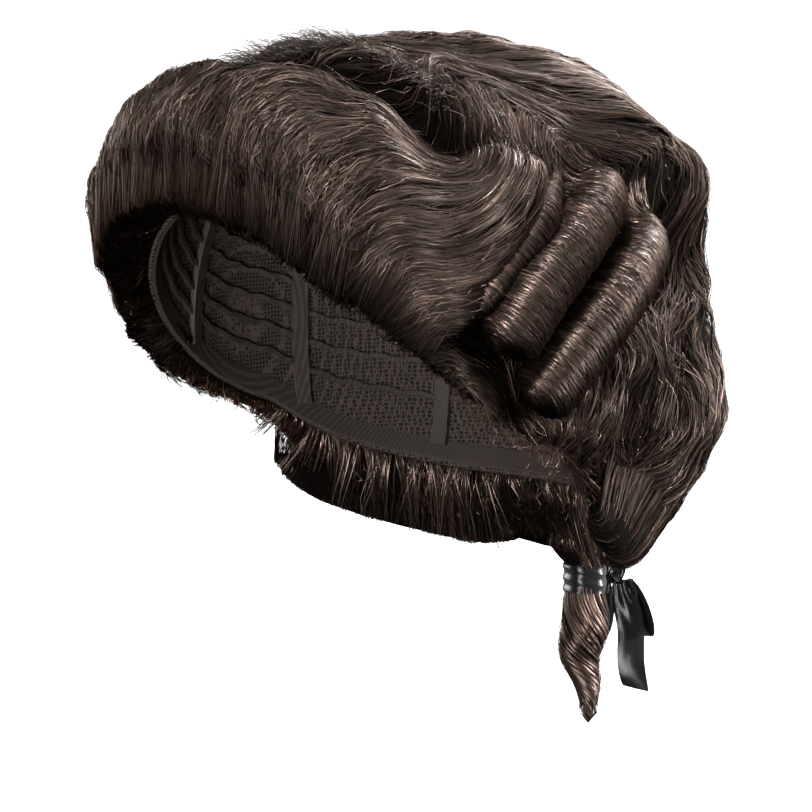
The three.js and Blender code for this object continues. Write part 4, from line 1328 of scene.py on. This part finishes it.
def satin_material():
    """Black satin with its fine cross ribs."""
    dress = bpy.context.scene.wig_dressing
    material, tree, shader = fresh_material("ribbon_satin")
    if tree is None:
        return material
    place = tree.nodes.new("ShaderNodeTexCoord")
    ribs = tree.nodes.new("ShaderNodeTexWave")
    ribs.bands_direction = "Z"
    ribs.inputs["Scale"].default_value = 900
    ribs.inputs["Distortion"].default_value = 1.5
    tree.links.new(place.outputs["Object"], ribs.inputs["Vector"])
    dark = tuple(c * 0.6 for c in dress.ribbon)
    colour = mix_colour(tree, ribs.outputs[1], (*dark, 1), (*dress.ribbon, 1))
    tree.links.new(colour, shader.inputs["Base Color"])
    shader.inputs["Roughness"].default_value = 0.26
    shader.inputs["Sheen Weight"].default_value = 0.25
    bump = tree.nodes.new("ShaderNodeBump")
    bump.inputs["Strength"].default_value = 0.25
    bump.inputs["Distance"].default_value = 0.1 * MM
    tree.links.new(ribs.outputs[1], bump.inputs["Height"])
    tree.links.new(bump.outputs["Normal"], shader.inputs["Normal"])
    return material


def satin_strip(name, node, line, across, wide, fold, cup=0.0, cut=0.0):
    """A strip of satin along a line, with gathers as deep as fold, in place of a CAD node."""
    way = unit(np.gradient(line, axis=0))
    across = unit(across - (across * way).sum(-1, keepdims=True) * way)
    face = np.cross(way, across)
    t = np.linspace(0, 1, len(line))[:, None]
    u = np.linspace(-1, 1, 15)
    rise = fold[:, None] * np.sin(u * 7.5 + 1.6 * np.sin(9 * t)) + cup * (1 - u**2)
    slip = cut * u * smooth((t - 0.8) / 0.2)
    points = (line[:, None] + across[:, None] * (u * wide[:, None] / 2)[..., None]
              + face[:, None] * rise[..., None] + way[:, None] * slip[..., None])
    faces = []
    for i in range(len(line) - 1):
        for j in range(len(u) - 1):
            a = i * len(u) + j
            faces.append((a, a + 1, a + 1 + len(u), a + len(u)))
    strip = make_piece(name, points.reshape(-1, 3), faces, satin_material(), "ribbon")
    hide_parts(node)
    return strip


class WIG_OT_ribbon(bpy.types.Operator):
    """Ties the black satin ribbon round the queue's neck, with its knot, loops and tails"""

    bl_idname = "wig.ribbon"
    bl_label = "Ribbon"

    def execute(self, context):
        low, high = (np.array(c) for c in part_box("ribbon_band"))
        neck, round_it = (low + high) / 2, (high - low)[1] / 2
        turn = np.linspace(0.15, 2 * math.pi + 0.75, 90)
        away = round_it - 0.7 * MM + 0.12 * MM * (turn - math.pi) + 0.25 * MM * np.sin(5 * turn)
        line = neck + np.stack([away * np.sin(turn), away * np.cos(turn), 0.3 * MM * np.sin(3 * turn)], 1)
        pinch = 1 - 0.25 * np.exp(-((((turn + math.pi) % (2 * math.pi) - math.pi) / 0.5) ** 2))
        up = np.broadcast_to(UP, line.shape)
        satin_strip("ribbon_band_satin", "ribbon_band", line, up, RIBBON_WIDTH * pinch,
                    0.28 * MM + 0 * turn)

        low, high = (np.array(c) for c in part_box("bow_knot"))
        knot, deep = (low + high) / 2, (high - low)[1] / 2
        turn = np.linspace(0, 5 * math.pi, 100)
        round_it = deep * (0.3 + 0.7 * smooth(turn / (3.4 * math.pi)))
        line = knot + np.stack([0.4 * MM * np.sin(2 * turn), round_it * np.cos(turn),
                                1.1 * round_it * np.sin(turn)], 1)
        aside = np.broadcast_to(ASIDE, line.shape)
        gathered = RIBBON_WIDTH * (0.78 + 0.06 * np.sin(3 * turn))
        satin_strip("bow_knot_satin", "bow_knot", line, aside, gathered,
                    0.45 * MM * round_it / deep, cup=-0.6 * MM)

        t = np.linspace(0, 1, 60)
        for side, name in ((1, "left"), (-1, "right")):
            sway = 1.5 * MM * side * np.sin(2.3 * math.pi * t)
            low, high = (np.array(c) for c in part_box(f"ribbon_tail_{name}"))
            front = low[1] + (high[1] - low[1]) * smooth(4 * t)
            middle = (low[0] + high[0]) / 2 + side * ((high - low)[0] - RIBBON_WIDTH) * (t - 0.5)
            line = np.stack([middle + sway * t, front + 2.5 * MM * np.sin(math.pi * t) ** 2,
                             high[2] + (low[2] - high[2]) * t], 1)
            twist = (0.25 + 0.75 * np.sin(math.pi * t)) * (0.9 if side > 0 else -0.5)
            across = np.stack([np.cos(twist), np.sin(twist), 0 * t], 1)
            gathered = 1 - 0.35 * np.exp(-((t / 0.14) ** 2))
            satin_strip(f"ribbon_tail_{name}_satin", f"ribbon_tail_{name}", line, across,
                        RIBBON_WIDTH * gathered, 0.5 * MM * np.exp(-t / 0.25),
                        cup=0.5 * MM, cut=2.5 * MM)

            low, high = (np.array(c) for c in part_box(f"bow_loop_{name}"))
            turn = 2 * math.pi * t
            down = (high[2] - low[2] - 2 * MM) * (1 - np.cos(turn)) / 2
            lean = math.radians(14) * side
            bulge = np.sin(turn) * 4.2 * MM * np.sqrt((1 - np.cos(turn)) / 2)
            root = np.array([side * 5.8 * MM, low[1] + 2.5 * MM, high[2] - 0.5 * MM])
            line = root + np.stack([down * math.sin(lean), bulge + down * 0.14, -down * math.cos(lean)], 1)
            across = np.broadcast_to(np.array([math.cos(lean), 0.1 * side, math.sin(lean)]), line.shape)
            gathered = 1 - 0.4 * np.exp(-((np.sin(math.pi * t) / 0.4) ** 2))
            satin_strip(f"bow_loop_{name}_satin", f"bow_loop_{name}", line, across, RIBBON_WIDTH * gathered,
                        0.5 * MM * (1 - 0.8 * np.sin(math.pi * t)), cup=0.4 * MM)
        return {"FINISHED"}


def stage_material(name, colour, rough):
    material, tree, shader = fresh_material(name)
    if tree is None:
        return material
    place = tree.nodes.new("ShaderNodeTexCoord")
    noise = tree.nodes.new("ShaderNodeTexNoise")
    noise.inputs["Scale"].default_value = 3
    tree.links.new(place.outputs["Object"], noise.inputs["Vector"])
    shader.inputs["Emission Color"].default_value = (1, 1, 1, 1)
    shader.inputs["Emission Strength"].default_value = 1.0
    shade = tuple(c * 0.98 for c in colour)
    tree.links.new(mix_colour(tree, noise.outputs[0], (*shade, 1), (*colour, 1)), shader.inputs["Base Color"])
    shader.inputs["Roughness"].default_value = rough
    return material


def soft_light(name, place, target, size, power):
    data = bpy.data.lights.new(name, "AREA")
    data.shape = "DISK"
    data.size = size
    data.energy = power
    obj = bpy.data.objects.new(name, data)
    obj.location = place
    way = Vector(target) - Vector(place)
    obj.rotation_euler = way.to_track_quat("-Z", "Y").to_euler()
    bpy.context.scene.collection.objects.link(obj)


CAMERA_TURN = math.radians(45)
CAMERA_RISE = math.radians(8)
CAMERA_AWAY = 1.2
CAMERA_RIGHT = 8.15 * MM
CAMERA_DOWN = 25.93 * MM
LENS = 143.6
FLOOR = -0.45

# Each light's place from the wig (towards the camera, up, to the camera's right), its size in metres,
# and its power as a share of the key light's.
LIGHTS = {
    "key_light": ((0.95, 1.15, -0.15), 0.4, 1.0),
    "fill_light": ((0.1, 0.1, 1.5), 0.6, 1.75),
    "rim_light": ((-0.9, 1.0, 0.9), 0.8, 1.5),
    "far_light": ((-0.9, 0.35, -1.2), 0.8, 0.6),
    "low_light": ((1.4, -0.5, -0.5), 0.8, 1.15),
}


class WIG_OT_stage(bpy.types.Operator):
    """Sets the pale floor, the soft lights and the camera at the photograph's angle"""

    bl_idname = "wig.stage"
    bl_label = "Stage"

    def execute(self, context):
        scene = context.scene
        dress = scene.wig_dressing
        back = Vector((math.sin(CAMERA_TURN) * math.cos(CAMERA_RISE),
                       -math.cos(CAMERA_TURN) * math.cos(CAMERA_RISE), math.sin(CAMERA_RISE)))
        right = Vector((math.cos(CAMERA_TURN), math.sin(CAMERA_TURN), 0))
        up = back.cross(right)
        camera = bpy.data.objects.new("camera", bpy.data.cameras.new("camera"))
        camera.data.lens = LENS
        camera.data.sensor_width = 36
        camera.data.clip_start = 0.05
        scene.collection.objects.link(camera)
        place = Vector(HEAD_MIDDLE) + right * CAMERA_RIGHT - up * CAMERA_DOWN + back * CAMERA_AWAY
        camera.matrix_world = Matrix.Translation(place) @ Matrix((right, up, back)).transposed().to_4x4()
        scene.camera = camera

        far, high, bend = 2.6, 2.6, 0.8
        profile = [(-far, FLOOR)]
        profile += [(far - bend + bend * math.sin(a), FLOOR + bend - bend * math.cos(a))
                    for a in np.linspace(0, math.pi / 2, 12)]
        profile.append((far, high))
        ground, wide = Vector((-back.x, -back.y, 0)).normalized(), 4.0
        points, faces = [], []
        for along, z in profile:
            for side in (-wide, wide):
                at = ground * along + right * side
                points.append((at.x, at.y, z))
        for k in range(len(profile) - 1):
            faces.append((2 * k, 2 * k + 1, 2 * k + 3, 2 * k + 2))
        mesh = bpy.data.meshes.new("floor")
        mesh.from_pydata(points, [], faces)
        mesh.polygons.foreach_set("use_smooth", [True] * len(faces))
        mesh.materials.append(stage_material("floor_white", tuple(dress.floor), 0.9))
        floor = bpy.data.objects.new("floor", mesh)
        scene.collection.objects.link(floor)
        floor.visible_diffuse = False
        floor.visible_glossy = False

        world = bpy.data.worlds.new("studio")
        scene.world = world
        world.use_nodes = True
        tree = world.node_tree
        shade = tree.nodes["Background"]
        place = tree.nodes.new("ShaderNodeTexCoord")
        split = tree.nodes.new("ShaderNodeSeparateXYZ")
        tree.links.new(place.outputs["Generated"], split.inputs[0])
        height = math_node(tree, "MULTIPLY", math_node(tree, "ADD", split.outputs[2], 0.25), 1.1, clamp=True)
        sky = mix_colour(tree, height, (0.22, 0.22, 0.22, 1), (1, 1, 1, 1))
        tree.links.new(sky, shade.inputs[0])
        shade.inputs[1].default_value = dress.room_light
        plain = tree.nodes.new("ShaderNodeBackground")
        plain.inputs[0].default_value = (1, 1, 1, 1)
        seen = tree.nodes.new("ShaderNodeLightPath")
        either = tree.nodes.new("ShaderNodeMixShader")
        tree.links.new(seen.outputs["Is Camera Ray"], either.inputs[0])
        tree.links.new(shade.outputs[0], either.inputs[1])
        tree.links.new(plain.outputs[0], either.inputs[2])
        tree.links.new(either.outputs[0], tree.nodes["World Output"].inputs["Surface"])

        middle = Vector((0, 0, -0.09))
        for name, ((near, high, beside), size, share) in LIGHTS.items():
            place = middle + back * near + up * high + right * beside
            soft_light(name, place, middle, size, dress.key_power * share)
        scene.view_settings.view_transform = "Standard"
        return {"FINISHED"}


def colour_prop(name, description, default):
    return bpy.props.FloatVectorProperty(name=name, description=description, default=default,
                                         subtype="COLOR", size=3, min=0, max=1)


class WigDressing(bpy.types.PropertyGroup):
    """Colours and lights that a user would change"""

    hair_dark: colour_prop("Dark hair", "Roots and shaded strands", (0.004, 0.0028, 0.002))
    hair_middle: colour_prop("Hair", "Most strands", (0.026, 0.015, 0.0103))
    hair_light: colour_prop("Light strands", "The lighter strands among them", (0.19, 0.115, 0.085))
    # Partly painted light: the loose hairs' red stands partly for light shining through them.
    hair_loose_backlit: colour_prop("Loose hair", "Loose hairs and wisps at the hairline", (0.075, 0.03, 0.016))
    # A painted sheen: the tufts' grey stands for their edge-lit shine.
    hair_tuft_sheen: colour_prop("Tufts", "Short hair standing along the crown's edge", (0.026, 0.027, 0.029))
    net: colour_prop("Net", "The cap's stretch net", (0.11, 0.078, 0.062))
    tape: colour_prop("Tape", "The cap's tapes, wefts and edging", (0.075, 0.056, 0.046))
    ribbon: colour_prop("Ribbon", "The satin ribbon", (0.008, 0.008, 0.01))
    floor: colour_prop("Floor", "The stage's floor", (0.93, 0.93, 0.93))
    key_power: bpy.props.FloatProperty(name="Key light", description="Power of the main light",
                                       default=29, min=0, unit="POWER")
    room_light: bpy.props.FloatProperty(name="Room light", description="Strength of the even light",
                                        default=0.15, min=0, subtype="FACTOR", max=5)


OPERATORS = (WIG_OT_cap, WIG_OT_body, WIG_OT_crown, WIG_OT_roll, WIG_OT_waves, WIG_OT_side_hair, WIG_OT_curls,
             WIG_OT_back, WIG_OT_nape_curls, WIG_OT_queue, WIG_OT_ribbon, WIG_OT_loose_hair, WIG_OT_stage)


class WIG_PT_panel(bpy.types.Panel):
    """Lists the wig's pieces and colours"""

    bl_idname = "WIG_PT_panel"
    bl_label = "Curled queue wig"
    bl_space_type = "VIEW_3D"
    bl_region_type = "UI"
    bl_category = "Wig"

    def draw(self, context):
        for name in WigDressing.__annotations__:
            self.layout.prop(context.scene.wig_dressing, name)
        for operator in OPERATORS:
            self.layout.operator(operator.bl_idname)


CLASSES = (WigDressing, *OPERATORS, WIG_PT_panel)


def register():
    for each in CLASSES:
        bpy.utils.register_class(each)
    bpy.types.Scene.wig_dressing = bpy.props.PointerProperty(type=WigDressing)


def unregister():
    del bpy.types.Scene.wig_dressing
    for each in reversed(CLASSES):
        bpy.utils.unregister_class(each)


def main():
    register()
    for operator in OPERATORS:
        group, action = operator.bl_idname.split(".")
        getattr(getattr(bpy.ops, group), action)()


if __name__ == "__main__":
    main()
